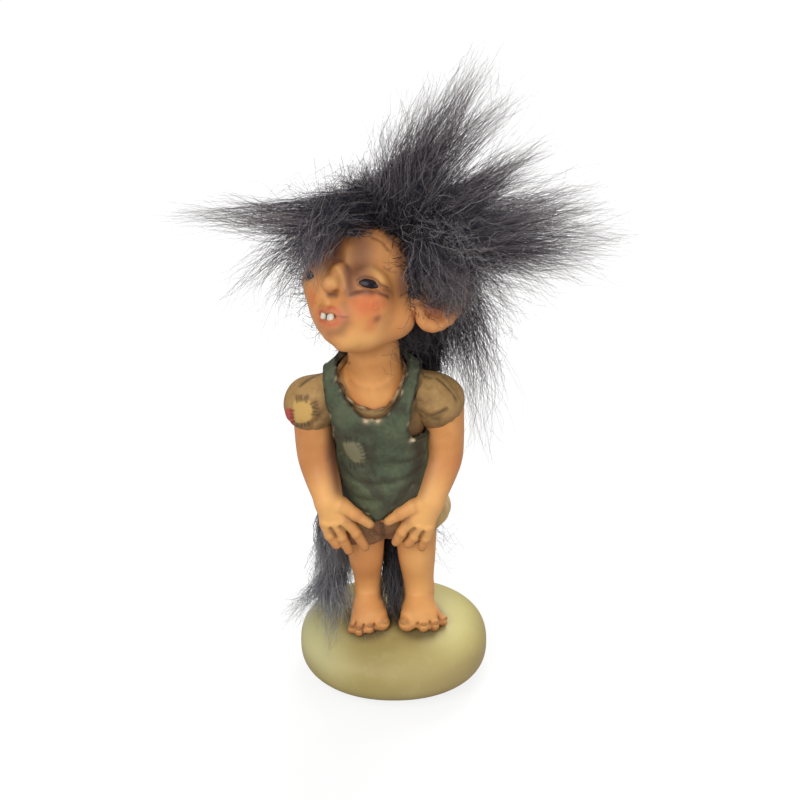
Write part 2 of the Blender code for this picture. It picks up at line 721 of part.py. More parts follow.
def all_tufts(body):
    """Every tuft, each cut back by the body and by the tufts before it."""
    # Name, root, sprays, length, radius at the root and faces
    plans = (
        (
            "crest_tuft",
            beside_skull(0.46, 0.05, 1.10),
            [
                ((0.50, 0.06, 0.95), 1.00),
                ((0.20, -0.14, 0.95), 0.80),
                ((0.80, 0.10, 0.76), 0.95),
                ((-0.15, 0.02, 1.0), 0.58),
                ((0.32, 0.40, 0.85), 0.80),
            ],
            CREST_LENGTH,
            TUFT_ROOT_RADIUS * 1.25,
            460,
        ),
        (
            "left_upper_tuft",
            beside_skull(0.84, 0.12, 0.94),
            [((0.90, -0.06, 0.46), 1.00), ((0.92, 0.26, 0.30), 0.86)],
            UPPER_TUFT_LENGTH,
            TUFT_ROOT_RADIUS,
            260,
        ),
        (
            "left_fan_tuft",
            beside_skull(0.88, 0.10, 0.50),
            [
                ((0.95, -0.04, 0.24), 0.90),
                ((1.00, 0.30, 0.12), 0.84),
                ((1.00, -0.06, 0.00), 1.00),
                ((0.95, 0.12, -0.15), 0.90),
                ((0.90, -0.10, -0.30), 0.74),
                ((0.84, 0.34, -0.40), 0.70),
                ((0.72, 0.04, -0.64), 0.56),
            ],
            FAN_LENGTH,
            TUFT_ROOT_RADIUS * 1.45,
            600,
        ),
        (
            "right_front_tuft",
            beside_skull(-0.12, -0.30, 0.98),
            [((-1.0, -0.05, 0.10), 1.00), ((-0.95, 0.20, 0.21), 0.72), ((-0.94, -0.14, -0.03), 0.66)],
            FRONT_TUFT_LENGTH,
            TUFT_ROOT_RADIUS * 0.86,
            300,
        ),
        (
            "right_fringe_tuft",
            beside_skull(-0.40, -0.52, 0.80),
            [((-0.86, 0.08, -0.46), 1.00), ((-0.66, -0.14, -0.66), 0.90), ((-0.42, -0.24, -0.66), 0.72)],
            FRINGE_LENGTH,
            TUFT_ROOT_RADIUS * 0.60,
            300,
        ),
        (
            "left_side_lock",
            beside_skull(1.12, 0.42, -0.10),
            [((0.22, 0.02, -1.0), 1.00), ((0.36, 0.14, -0.78), 0.78), ((0.06, 0.10, -1.0), 0.72)],
            SIDE_LOCK_LENGTH,
            TUFT_ROOT_RADIUS * 0.80,
            360,
        ),
        (
            "nape_tuft",
            beside_skull(0.26, 0.74, -0.40),
            [
                ((0.12, 0.20, -1.0), 1.00),
                ((0.46, 0.10, -0.95), 0.94),
                ((-0.40, 0.22, -0.92), 0.84),
                ((-0.12, 0.38, -0.90), 0.90),
                ((0.34, 0.44, -0.90), 0.84),
            ],
            NAPE_LENGTH,
            TUFT_ROOT_RADIUS * 1.5,
            460,
        ),
        (
            "back_tuft",
            beside_skull(0.10, 0.70, 0.52),
            [
                ((0.10, 0.90, 0.36), 1.00),
                ((0.62, 0.72, 0.24), 0.94),
                ((-0.56, 0.74, 0.26), 0.90),
                ((-0.20, 0.90, -0.30), 0.90),
                ((0.44, 0.80, -0.36), 0.92),
            ],
            BACK_TUFT_LENGTH,
            TUFT_ROOT_RADIUS * 1.4,
            420,
        ),
    )
    made = []
    for name, root, sprays, length, root_radius, faces in plans:
        made.append(tuft(name, root, sprays, length, root_radius, faces, body + made))
    return made


def tail_root():
    return hips() + Vector((-HIP_HALF_WIDTH * 0.25, HIP_HALF_DEPTH * 0.70, HIP_HALF_HEIGHT * 0.05))


def tail_hide():
    """The strip of hide that carries the tail's fur, glued into the back of the shorts."""
    start = tail_root()
    bend = start + Vector((-0.10, 0.30, -0.06)) * HIDE_LENGTH
    end = bend + Vector((-0.25, -0.08, -0.66)) * HIDE_LENGTH
    shape = bmesh.new()
    limb(shape, [start, start.lerp(bend, 0.7), bend, end], [HIDE_RADIUS] * 3 + [HIDE_RADIUS * 0.7])
    return fuse("tail_hide", shape, FINE_GRAIN, HIDE_FACES, smoothing=1)


def tail_fur(neighbours):
    start = tail_root() + Vector((-HIP_HALF_WIDTH * 0.10, HIP_HALF_DEPTH * 0.42, -HIP_HALF_HEIGHT * 0.10))
    shape = bmesh.new()
    # Each hank runs from the root out to its own bend and then down to the pebble
    hanks = (
        ((-0.30, -0.14, -0.16), (-0.26, -0.22, -0.52), (-0.18, -0.30, -0.74), 1.0),
        ((-0.30, -0.14, -0.18), (-0.32, -0.26, -0.58), (-0.50, -0.40, -0.82), 0.7),
        ((-0.10, -0.04, -0.20), (0.02, -0.10, -0.44), (0.04, -0.18, -0.72), 0.9),
        ((-0.24, -0.10, -0.24), (-0.20, -0.26, -0.60), (-0.34, -0.62, -0.80), 0.6),
    )
    for bend, low, tip, stout in hanks:
        points = [start] + [start + Vector(aim) * TAIL_LENGTH for aim in (bend, low, tip)]
        radii = [TAIL_RADIUS * stout * share for share in (0.7, 1.0, 0.8, 0.3)]
        limb(shape, points, radii)
    made = fuse("tail_fur", shape, COARSE_GRAIN, TAIL_FACES)
    cut(made, *neighbours, faces=TAIL_FACES * 1.3)
    return made


def coats():
    return {
        "skin": material("skin", (0.70, 0.38, 0.17), 0.5),
        "stone_olive": material("stone_olive", (0.45, 0.43, 0.22), 0.5),
        "tunic_green": material("tunic_green", (0.10, 0.14, 0.10), 0.6),
        "shirt_mustard": material("shirt_mustard", (0.33, 0.23, 0.09), 0.6),
        "shorts_brown": material("shorts_brown", (0.26, 0.15, 0.07), 0.6),
        "eye_black": material("eye_black", (0.01, 0.01, 0.012), 0.08),
        "tooth_ivory": material("tooth_ivory", (0.85, 0.80, 0.70), 0.3),
        "hide": material("hide", (0.16, 0.13, 0.12), 0.8),
        "fur_blue_black": material("fur_blue_black", (0.035, 0.032, 0.045), 0.7),
    }


def build():
    clear_scene()
    stone = base_stone()
    legs = [leg(f"{word}_leg", side, stone) for word, side in SIDES.items()]
    tidy(stone)
    strip = tail_hide()
    arms = [arm(f"{word}_arm", side) for word, side in SIDES.items()]
    pelvis = shorts(legs)
    cut(pelvis, strip, *arms, faces=SHORTS_FACES * 1.5)
    inner = torso_core(pelvis)
    blouse, form = shirt(inner, arms)
    smock = tunic(inner, pelvis, form, [*arms, strip])
    sleeves = [sleeve(f"{word}_sleeve", side, [inner, form, smock, *arms]) for word, side in SIDES.items()]
    bpy.data.objects.remove(form)
    eyes = [eye(f"{word}_eye", side) for word, side in SIDES.items()]
    teeth = front_teeth()
    skull = head([inner, *eyes, teeth])
    ears = [ear(f"{word}_ear", side, skull) for word, side in SIDES.items()]
    cap = fur_cap([skull, inner, *ears])
    tufts = all_tufts([skull, *eyes, inner, *ears, cap, blouse, smock, *sleeves, *arms])
    tail = tail_fur([strip, stone, pelvis, smock, *legs, *arms])

    coat = coats()
    worn = {
        "skin": [*legs, *arms, inner, skull, *ears],
        "stone_olive": [stone],
        "tunic_green": [smock],
        "shirt_mustard": [blouse, *sleeves],
        "shorts_brown": [pelvis],
        "eye_black": eyes,
        "tooth_ivory": [teeth],
        "hide": [strip],
        "fur_blue_black": [cap, *tufts, tail],
    }
    for slot, pieces in worn.items():
        for piece in pieces:
            finish(piece, coat[slot])


build()
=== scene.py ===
"""Looks of the folk elf figurine: a painted cast elf child with fur hair, on an olive pebble.

Lengths are in millimetres until a mesh is made. The castings are modelled like clay: forms are
joined on a grid, grooves are pressed in, and the surface is then drawn over it with its paint.
Marks that the photo shows are placed by their pixels, as how far across and how far down.
"""

from math import cos, pi, radians, sin

import bmesh
import bpy
import numpy as np
from mathutils import Matrix, Vector


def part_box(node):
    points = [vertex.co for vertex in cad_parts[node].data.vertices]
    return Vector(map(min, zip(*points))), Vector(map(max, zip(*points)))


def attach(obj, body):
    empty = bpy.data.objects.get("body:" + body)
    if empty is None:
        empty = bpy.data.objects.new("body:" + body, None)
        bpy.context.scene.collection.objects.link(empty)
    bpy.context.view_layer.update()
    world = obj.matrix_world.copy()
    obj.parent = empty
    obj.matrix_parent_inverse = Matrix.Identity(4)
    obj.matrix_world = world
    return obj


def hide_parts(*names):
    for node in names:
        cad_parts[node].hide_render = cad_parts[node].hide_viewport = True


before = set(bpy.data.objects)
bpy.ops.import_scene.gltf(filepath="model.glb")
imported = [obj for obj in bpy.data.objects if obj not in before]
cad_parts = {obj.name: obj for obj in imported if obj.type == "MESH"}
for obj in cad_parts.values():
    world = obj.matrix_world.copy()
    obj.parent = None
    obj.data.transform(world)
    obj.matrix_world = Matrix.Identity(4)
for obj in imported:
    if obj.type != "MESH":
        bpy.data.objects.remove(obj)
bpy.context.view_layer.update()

MM = 0.001

# The clay's field where there is no clay yet
FAR = 9.0

# The camera, fitted to the pebble and the feet
CAMERA_RISE = radians(32)
CAMERA_DISTANCE = 600
CAMERA_TARGET = np.array((1.65, 0, 83))
LENS = 108
SENSOR = 36
PHOTO_SIDE = 800
FOCUS = PHOTO_SIDE * LENS / SENSOR
PIXEL = CAMERA_DISTANCE / FOCUS
CAMERA_RIGHT = np.array((1.0, 0, 0))
CAMERA_UP = np.array((0, sin(CAMERA_RISE), cos(CAMERA_RISE)))
CAMERA_AHEAD = np.array((0, cos(CAMERA_RISE), -sin(CAMERA_RISE)))
CAMERA_PLACE = CAMERA_TARGET - CAMERA_DISTANCE * CAMERA_AHEAD

# A ray looks for clay this far before and behind the camera's target
SEEN_DEPTH = 60

# Which way each side of the figure lies along x
SIDES = {"left": 1, "right": -1}


def spot(*place):
    return np.array(place, np.float64)


def unit(way):
    way = np.asarray(way, np.float64)
    return way / np.linalg.norm(way, axis=-1, keepdims=True)


def turned(axis, degrees):
    return np.array(Matrix.Rotation(radians(degrees), 3, axis))


def ray_ways(pixels):
    """The way that the camera looks through each pixel."""
    pixels = np.asarray(pixels, np.float64).reshape(-1, 2)
    across = (pixels[:, :1] - PHOTO_SIDE / 2) / FOCUS * CAMERA_RIGHT
    up = (PHOTO_SIDE / 2 - pixels[:, 1:]) / FOCUS * CAMERA_UP
    return unit(CAMERA_AHEAD + across + up)


def through(pixel, axis, value):
    """Where the camera's ray through a pixel meets the plane on which x, y or z has this value."""
    way = ray_ways([pixel])[0]
    axis = "xyz".index(axis)
    return CAMERA_PLACE + way * (value - CAMERA_PLACE[axis]) / way[axis]


def on_photo(points):
    """The pixel that shows each point, as how far across and how far down."""
    away = points - CAMERA_PLACE
    depth = away @ CAMERA_AHEAD
    across = PHOTO_SIDE / 2 + FOCUS * (away @ CAMERA_RIGHT) / depth
    down = PHOTO_SIDE / 2 - FOCUS * (away @ CAMERA_UP) / depth
    return across, down


# The pebble's driving sizes come from its solid
_, stone_high = (np.array(corner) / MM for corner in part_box("base_stone"))
STONE_HALF_WIDTH = stone_high[0]
STONE_HALF_DEPTH = stone_high[1]
STONE_HEIGHT = stone_high[2]
STONE_BELLY = 8.0
STONE_UNDERCUT = 8.8
STONE_PLAN_POWER = 2.15
STONE_SIDE_POWER = 2.6


def stone_top(x, y):
    plan = (np.abs(x) / STONE_HALF_WIDTH) ** STONE_PLAN_POWER
    plan = plan + (np.abs(y) / STONE_HALF_DEPTH) ** STONE_PLAN_POWER
    share = np.minimum(0.97, plan ** (1 / STONE_PLAN_POWER))
    rise = (1 - share**STONE_SIDE_POWER) ** (1 / STONE_SIDE_POWER)
    return STONE_BELLY + (STONE_HEIGHT - STONE_BELLY) * rise


# The figure's joints
STANCE = 6.6


def leg_joints(side):
    sole = spot(side * STANCE, 0, stone_top(side * STANCE, 0))
    ankle = sole + spot(0, 1.0, 5.8)
    knee = ankle + spot(-0.7, -1.5, 14.2)
    hip = knee + spot(0.14, 2.0, 8.8)
    return sole, ankle, knee, hip


HIPS = (leg_joints(1)[3] + leg_joints(-1)[3]) / 2 + spot(1.1, 2.2, 0.6)
WAIST = HIPS + spot(0, -1.0, 3.0)
TRUNK = spot(-5.4, -2.2, 39.5)
NECK_TOP = WAIST + TRUNK + spot(-0.4, -1.5, 16)
HEAD_CENTRE = NECK_TOP + spot(-1.5, -0.8, 11.4)
HEAD_TURN = turned("Z", -36) @ turned("X", -30) @ turned("Y", -10)
CHEST_RADIUS = 8.6
WAIST_RADIUS = 9.2
NECK_RADIUS = 6.3
SHOULDER_RADIUS = 4.2


def trunk_point(share, back=0.0):
    return WAIST + TRUNK * share + spot(0, back, 0)


def shoulder(side):
    return trunk_point(0.93) + spot(side * 8.0, 0, 0)


def arm_joints(side):
    top = trunk_point(0.8) + spot(side * 16.6, 0, 0)
    elbow = top + unit(spot(side * 0.02, -0.12, -0.99)) * 15
    wrist = elbow + unit(spot(-side * 0.30, -0.42, -0.86)) * 15
    return top, elbow, wrist


def in_head(x, y, z):
    """A point given in the head's own frame: x to the figure's left, y backwards, z to the crown."""
    return HEAD_CENTRE + HEAD_TURN @ spot(x, y, z)


# Forms are (low corner, high corner, distance to the surface)
def ball(centre, radii, turn=None):
    centre = np.asarray(centre, np.float64)
    radii = np.broadcast_to(np.asarray(radii, np.float64), 3)
    reach = radii.max()

    def measure(points):
        local = points - centre
        if turn is not None:
            local = local @ turn
        scaled = local / radii
        near = np.linalg.norm(scaled, axis=-1)
        steep = np.linalg.norm(scaled / radii, axis=-1)
        return near * (near - 1) / np.maximum(steep, 1e-6)

    return centre - reach, centre + reach, measure


def closest(points, start, end):
    """Each point's nearest place on a straight step, as a share of the step, and its distance from it."""
    along = end - start
    share = np.clip((points - start) @ along / max(along @ along, 1e-9), 0, 1)
    return share, np.linalg.norm(points - start - share[..., None] * along, axis=-1)


def rod(start, end, start_radius, end_radius):
    start, end = np.asarray(start, np.float64), np.asarray(end, np.float64)
    reach = max(start_radius, end_radius)

    def measure(points):
        share, gap = closest(points, start, end)
        return gap - (start_radius + (end_radius - start_radius) * share)

    return np.minimum(start, end) - reach, np.maximum(start, end) + reach, measure


def soft_least(a, b, blend):
    if blend <= 0:
        return np.minimum(a, b)
    near = np.maximum(blend - np.abs(a - b), 0) / blend
    return np.minimum(a, b) - near * near * blend * 0.25


def path_gap(points, path):
    """Distance from each point to a path of straight steps."""
    return np.minimum.reduce([closest(points, start, end)[1] for start, end in zip(path, path[1:])])


class Clay:
    """Modelling clay on a grid. Its field is the distance to the surface, negative inside."""

    def __init__(self, low, high, cell):
        self.low = np.asarray(low, np.float64)
        self.cell = cell
        self.counts = np.ceil((np.asarray(high) - self.low) / cell).astype(int) + 1
        self.field = np.full(self.counts, FAR, np.float32)
        self.paints = {}

    def near(self, low, high, margin):
        """The grid's part between two corners, widened by a margin, and its points."""
        first = np.floor((low - margin - self.low) / self.cell).astype(int)
        last = np.ceil((high + margin - self.low) / self.cell).astype(int) + 1
        first = np.clip(first, 0, self.counts)
        last = np.clip(last, first, self.counts)
        part = tuple(slice(a, b) for a, b in zip(first, last))
        lines = [self.low[i] + self.cell * np.arange(first[i], last[i]) for i in range(3)]
        return part, np.stack(np.meshgrid(*lines, indexing="ij"), -1).astype(np.float32)

    def everywhere(self):
        """All the grid's points."""
        return self.near(self.low, self.low + self.cell * self.counts, 0)[1]

    def add(self, form, blend=1.0):
        part, points = self.near(form[0], form[1], blend + 1.5)
        self.field[part] = soft_least(self.field[part], form[2](points), blend)

    def add_limb(self, points, radii, blend=1.0):
        for i in range(len(points) - 1):
            self.add(rod(points[i], points[i + 1], radii[i], radii[i + 1]), blend)

    def add_smooth_limb(self, points, radii, steps=28):
        """A limb whose bends and swellings run into each other."""
        knots = np.column_stack([np.array(points), radii])
        lengths = np.linalg.norm(np.diff(knots[:, :3], axis=0), axis=1)
        reach = np.concatenate([[0], np.cumsum(lengths)])
        along = np.linspace(0, reach[-1], steps)
        track = np.column_stack([np.interp(along, reach, column) for column in knots.T])
        for _ in range(6):
            track[1:-1] = (track[:-2] + track[1:-1] * 2 + track[2:]) / 4
        self.add_limb(track[:, :3], track[:, 3], 0.3)

    def carve(self, form, blend=0.4):
        part, points = self.near(form[0], form[1], blend + 1.0)
        self.field[part] = -soft_least(-self.field[part], form[2](points), blend)

    def keep(self, measure, blend=0.2):
        """Cuts away all the clay where the measure is above nothing."""
        self.field[...] = -soft_least(-self.field, -measure(self.everywhere()), blend)

    def sink(self, amount):
        """Lowers the surface by this much at each point of the grid."""
        self.field += np.asarray(amount, np.float32)

    def brush(self, path, width):
        """The grid's part near a path, or near one point, and how strongly a brush along it marks it."""
        path = np.asarray(path, np.float64).reshape(-1, 3)
        if len(path) == 1:
            path = np.repeat(path, 2, axis=0)
        part, points = self.near(path.min(0), path.max(0), width * 2.6)
        return part, np.exp(-((path_gap(points, path) / width) ** 2))

    def grid_of(self, name):
        """The grid of a paint, which is laid on first use."""
        return self.paints.setdefault(name, np.zeros(self.counts, np.float32))

    def press(self, path, width, depth, shade_and_dark_lines=0.0):
        """Presses a groove along a path, or raises a ridge where the depth is negative, and can lay painted
        shade along it.
        """
        part, mark = self.brush(path, width)
        self.field[part] += depth * mark
        if shade_and_dark_lines:
            self.stain("shade_and_dark_lines", path, width * 1.15, shade_and_dark_lines)

    def stain(self, name, path, width, strength=1.0):
        """Brushes a paint along a path, or round one point."""
        part, mark = self.brush(path, width)
        grid = self.grid_of(name)
        grid[part] = np.maximum(grid[part], strength * mark)

    def read(self, grid, points):
        """Reads a grid between its points."""
        cells = np.clip((points - self.low) / self.cell, 0, self.counts - 1.001)
        first = np.floor(cells).astype(int)
        share = cells - first
        total = 0
        for corner in np.ndindex(2, 2, 2):
            weight = np.prod(np.where(corner, share, 1 - share), axis=-1)
            i, j, k = (first + corner).T
            total = total + weight * grid[i, j, k]
        return total

    def seen(self, pixels):
        """Where the camera's rays through these pixels first meet the clay."""
        ways = ray_ways(pixels)
        steps = CAMERA_DISTANCE - SEEN_DEPTH + np.arange(0, 2 * SEEN_DEPTH, self.cell * 0.5)
        high = self.low + self.cell * (self.counts - 1)
        found = []
        for way in ways:
            points = CAMERA_PLACE + steps[:, None] * way
            inside = ((points > self.low) & (points < high)).all(axis=1)
            points = points[inside]
            values = self.read(self.field, points)
            hit = int(np.argmax(values < 0)) if (values < 0).any() else int(np.argmin(values))
            found.append(points[hit])
        return np.array(found)

    def surface(self):
        """Points and four-sided faces of the surface, one point in each grid cell that it crosses."""
        field = self.field
        cells = self.counts - 1
        total = np.zeros((int(np.prod(cells)), 3))
        count = np.zeros(int(np.prod(cells)))
        strides = np.array((cells[1] * cells[2], cells[2], 1))
        rings = []
        inside = field < 0
        for axis in range(3):
            low = [slice(None)] * 3
            high = [slice(None)] * 3
            low[axis], high[axis] = slice(0, -1), slice(1, None)
            crossed = np.argwhere(inside[tuple(low)] != inside[tuple(high)])
            u, v = (axis + 1) % 3, (axis + 2) % 3
            whole = (crossed[:, u] > 0) & (crossed[:, v] > 0)
            whole &= (crossed[:, u] < cells[u]) & (crossed[:, v] < cells[v])
            crossed = crossed[whole]
            step = np.eye(3, dtype=int)
            near = field[tuple(crossed.T)].astype(np.float64)
            far = field[tuple((crossed + step[axis]).T)].astype(np.float64)
            point = crossed.astype(np.float64)
            point[:, axis] += near / (near - far)
            ring = []
            for across, along in ((0, 0), (1, 0), (1, 1), (0, 1)):
                home = (crossed - across * step[u] - along * step[v]) @ strides
                for i in range(3):
                    total[:, i] += np.bincount(home, point[:, i], len(total))
                count += np.bincount(home, minlength=len(total))
                ring.append(home)
            ring = np.stack(ring, 1)
            backward = near > 0
            ring[~backward] = ring[~backward][:, ::-1]
            rings.append(ring)
        rings = np.concatenate(rings)
        used, faces = np.unique(rings, return_inverse=True)
        points = total[used] / count[used, None] * self.cell + self.low
        return points, faces.reshape(-1, 4)


def neighbour_mean(faces, values):
    """The mean of each point's neighbours along the faces' sides."""
    ends = np.concatenate([faces[:, [i, (i + 1) % 4]] for i in range(4)])
    ends = np.concatenate([ends, ends[:, ::-1]])
    count = np.bincount(ends[:, 0], minlength=len(values))
    columns = [np.bincount(ends[:, 0], values[ends[:, 1], i], len(values)) for i in range(values.shape[1])]
    return np.stack(columns, 1) / np.maximum(count, 1)[:, None]


def point_normals(points, faces):
    across = points[faces[:, 2]] - points[faces[:, 0]]
    along = points[faces[:, 3]] - points[faces[:, 1]]
    flat = np.cross(across, along)
    normals = np.zeros_like(points)
    for corner in range(4):
        for i in range(3):
            normals[:, i] += np.bincount(faces[:, corner], flat[:, i], len(points))
    return unit(normals + 1e-12)


def relief(points, faces, rounds):
    """How far each point lies under, or over, the surface round it."""
    smooth = points
    for _ in range(rounds):
        smooth = (smooth + neighbour_mean(faces, smooth)) / 2
    return ((smooth - points) * point_normals(points, faces)).sum(axis=1)


def add_layer(mesh, name, values):
    mesh.attributes.new(name, "FLOAT", "POINT").data.foreach_set("value", np.asarray(values, np.float32))


def linked(name, data):
    """A new object of the scene that shows this data."""
    obj = bpy.data.objects.new(name, data)
    bpy.context.scene.collection.objects.link(obj)
    return obj


def new_object(name, points, faces, layers=None):
    mesh = bpy.data.meshes.new(name)
    mesh.from_pydata((np.asarray(points) * MM).tolist(), [], faces)
    for layer, values in (layers or {}).items():
        add_layer(mesh, layer, values)
    mesh.shade_smooth()
    return linked(name, mesh)


def place(obj, finish, slot, *nodes):
    """Gives a piece its finish and its place in the figure."""
    obj.data.materials.append(finish)
    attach(obj, "root")
    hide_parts(*nodes)


def cast_from(clay, name, paints=(), smoothing=1):
    """The clay's surface as an object, with its paints and its hollows as layers."""
    points, faces = clay.surface()
    for _ in range(smoothing):
        points = points * 0.4 + neighbour_mean(faces, points) * 0.6
    layers = {"hollow": relief(points, faces, 6), "broad_hollow": relief(points, faces, 30)}
    for paint in paints:
        grid = clay.paints.get(paint)
        layers[paint] = np.zeros(len(points)) if grid is None else clay.read(grid, points)
    return new_object(name, points, faces.tolist(), layers)


def ripple(points, scale, seed):
    """Smooth, even noise between -1 and 1, from crossed waves."""
    random = np.random.default_rng(seed)
    total = 0
    for _ in range(7):
        way = unit(random.normal(size=3)) * scale * random.uniform(0.6, 1.7)
        total = total + np.sin(points @ way + random.uniform(0, 2 * pi))
    return total / 4.5


class Wire:
    """A shader node's output, usable in sums."""

    def __init__(self, paint, socket):
        self.paint = paint
        self.socket = socket

    def maths(self, operation, other=None, swapped=False):
        values = [self, other] if other is not None else [self]
        if swapped:
            values.reverse()
        return self.paint.node("ShaderNodeMath", {"operation": operation}, dict(enumerate(values)))

    def __add__(self, other):
        return self.maths("ADD", other)

    def __sub__(self, other):
        return self.maths("SUBTRACT", other)

    def __rsub__(self, other):
        return self.maths("SUBTRACT", other, swapped=True)

    def __mul__(self, other):
        return self.maths("MULTIPLY", other)

    __radd__ = __add__
    __rmul__ = __mul__

    def between(self, low, high):
        """This value stretched so that low becomes 0 and high becomes 1, held between them."""
        settings = {"clamp": True, "interpolation_type": "SMOOTHSTEP"}
        inputs = {"Value": self, "From Min": low, "From Max": high}
        return self.paint.node("ShaderNodeMapRange", settings, inputs)


class Paint:
    """A material under way."""

    def __init__(self, name, **sockets):
        self.material = bpy.data.materials.new(name)
        self.material.use_nodes = True
        self.tree = self.material.node_tree
        self.shader = self.tree.nodes["Principled BSDF"]
        self.set(**sockets)

    def node(self, kind, settings=None, inputs=None, output=0):
        node = self.tree.nodes.new(kind)
        for name, value in (settings or {}).items():
            setattr(node, name, value)
        for name, value in (inputs or {}).items():
            self.feed(node.inputs[name], value)
        return Wire(self, node.outputs[output])

    def feed(self, socket, value):
        if isinstance(value, Wire):
            self.tree.links.new(value.socket, socket)
        elif isinstance(value, tuple) and len(value) == 3 and socket.type == "RGBA":
            socket.default_value = (*value, 1)
        else:
            socket.default_value = value

    def set(self, **sockets):
        for name, value in sockets.items():
            self.feed(self.shader.inputs[name.replace("_", " ").title().replace("Ior", "IOR")], value)

    def layer(self, name):
        return self.node("ShaderNodeAttribute", {"attribute_name": name}, output=2)

    def where(self):
        """The point's place on the figure, in millimetres."""
        place = self.node("ShaderNodeTexCoord", output=3)
        return self.node("ShaderNodeVectorMath", {"operation": "SCALE"}, {0: place, "Scale": 1 / MM})

    def noise(self, scale, detail=3.0, roughness=0.5, distortion=0.0):
        inputs = {"Vector": self.where(), "Scale": scale, "Detail": detail, "Roughness": roughness}
        inputs["Distortion"] = distortion
        return self.node("ShaderNodeTexNoise", {}, inputs)

    def mix(self, share, low, high):
        settings = {"data_type": "RGBA", "clamp_factor": True}
        return self.node("ShaderNodeMix", settings, {0: share, 6: low, 7: high}, output=2)

    def coats(self, colour, *coats):
        """A colour under coats of others, each laid on by its share."""
        for share, coat in coats:
            colour = self.mix(share, colour, coat)
        return colour

    def bump(self, height, strength, distance):
        inputs = {"Height": height, "Strength": strength, "Distance": distance * MM}
        self.set(normal=self.node("ShaderNodeBump", {}, inputs))

    def facing_down(self):
        """1 where the surface faces the ground, 0 where it faces up."""
        normal = self.node("ShaderNodeNewGeometry", output=1)
        up = self.node("ShaderNodeSeparateXYZ", {}, {0: normal}, output=2)
        return up.between(0.35, -0.75)


def skin_paint():
    """Warm tan airbrushed over, with blush, painted shade in the creases, painted highlights and a thin satin
    varnish.
    """
    paint = Paint("skin", coat_weight=0.05, coat_roughness=0.4, specular_ior_level=0.25)
    colour = paint.coats(
        (0.62, 0.265, 0.080),
        (paint.noise(0.22, 4.0).between(0.3, 0.7), (0.70, 0.32, 0.105)),
        (paint.noise(0.09, 2.0).between(0.42, 0.66) * 0.5, (0.62, 0.235, 0.080)),
        # Painted shade on the faces that look down
        (paint.facing_down() * 0.5, (0.42, 0.155, 0.05)),
        # Painted highlight where the light falls on hands, feet, shin, nose, lids, chin and chest
        (paint.layer("painted_highlight") * 0.75, (0.92, 0.50, 0.17)),
        # Brown airbrushing of the figure, with painted shade beside the nose, under the hair, in the ears and
        # on the inner sides of the limbs
        (paint.layer("airbrush_and_shade") * 0.9, (0.16, 0.066, 0.042)),
        (paint.layer("blush") * 0.9, (0.60, 0.145, 0.050)),
        (paint.layer("lips"), (0.56, 0.135, 0.065)),
        # Painted shade in the broad and the small hollows
        (paint.layer("broad_hollow").between(0.02, 0.35) * 0.4, (0.26, 0.09, 0.03)),
        (paint.layer("hollow").between(0.01, 0.10) * 0.5, (0.20, 0.07, 0.03)),
        # Painted shade in grooves, gaps and the mouth, with dark painted lines
        (paint.layer("shade_and_dark_lines") * 0.9, (0.07, 0.026, 0.016)),
    )
    paint.set(base_color=colour, roughness=paint.noise(0.6).between(0.2, 0.8) * 0.14 + 0.42)
    paint.bump(paint.noise(2.2, 3.0), 0.12, 0.12)
    return paint.material


def cloth_paint(name, deep, middle, light, dirt_and_shade, dirt_share):
    """Cast cloth: a base coat, dirty in places, with painted shade in the folds and painted highlights on the
    ridges.
    """
    paint = Paint(name, specular_ior_level=0.3)
    # Painted highlight on the ridges of the cloth
    ridges = (paint.layer("hollow") * -1).between(0.008, 0.06) * paint.noise(1.5).between(0.35, 0.6)
    colour = paint.coats(
        deep,
        (paint.noise(0.16, 5.0, 0.6).between(0.36, 0.64), middle),
        (paint.noise(0.9, 4.0, 0.65).between(0.45, 0.75) * 0.3, light),
        (paint.noise(0.075, 3.0, 0.6, 0.8).between(0.50, 0.66) * dirt_share, dirt_and_shade),
        # Painted shade on the faces that look down
        (paint.facing_down() * 0.5, dirt_and_shade),
        # Grime together with painted shade where the cloth lies under or beside other parts
        (paint.layer("grime_and_shade"), dirt_and_shade),
        # Painted shade in the broad and the small hollows
        (paint.layer("broad_hollow").between(0.02, 0.30) * 0.6, dirt_and_shade),
        (paint.layer("hollow").between(0.01, 0.09) * 0.75, dirt_and_shade),
        # Painted highlight on the ridges
        (ridges * 0.5, light),
        # The yellow of the sleeve's patch, also laid on the shorts' rump as a painted highlight
        (paint.layer("patch"), (0.56, 0.345, 0.105)),
        (paint.layer("red_patch"), (0.48, 0.085, 0.06)),
        (paint.layer("grey_patch"), (0.20, 0.185, 0.105)),
        # Cream frayed edges and knots, also laid on the shorts' rump as a painted highlight
        (paint.layer("cream"), (0.68, 0.52, 0.33)),
        # Painted shade in grooves and stitches, with dark painted lines
        (paint.layer("shade_and_dark_lines"), (0.030, 0.018, 0.010)),
    )
    paint.set(base_color=colour, roughness=paint.noise(0.8).between(0.2, 0.8) * 0.2 + 0.55)
    paint.bump(paint.noise(3.0, 4.0, 0.6), 0.25, 0.12)
    return paint.material


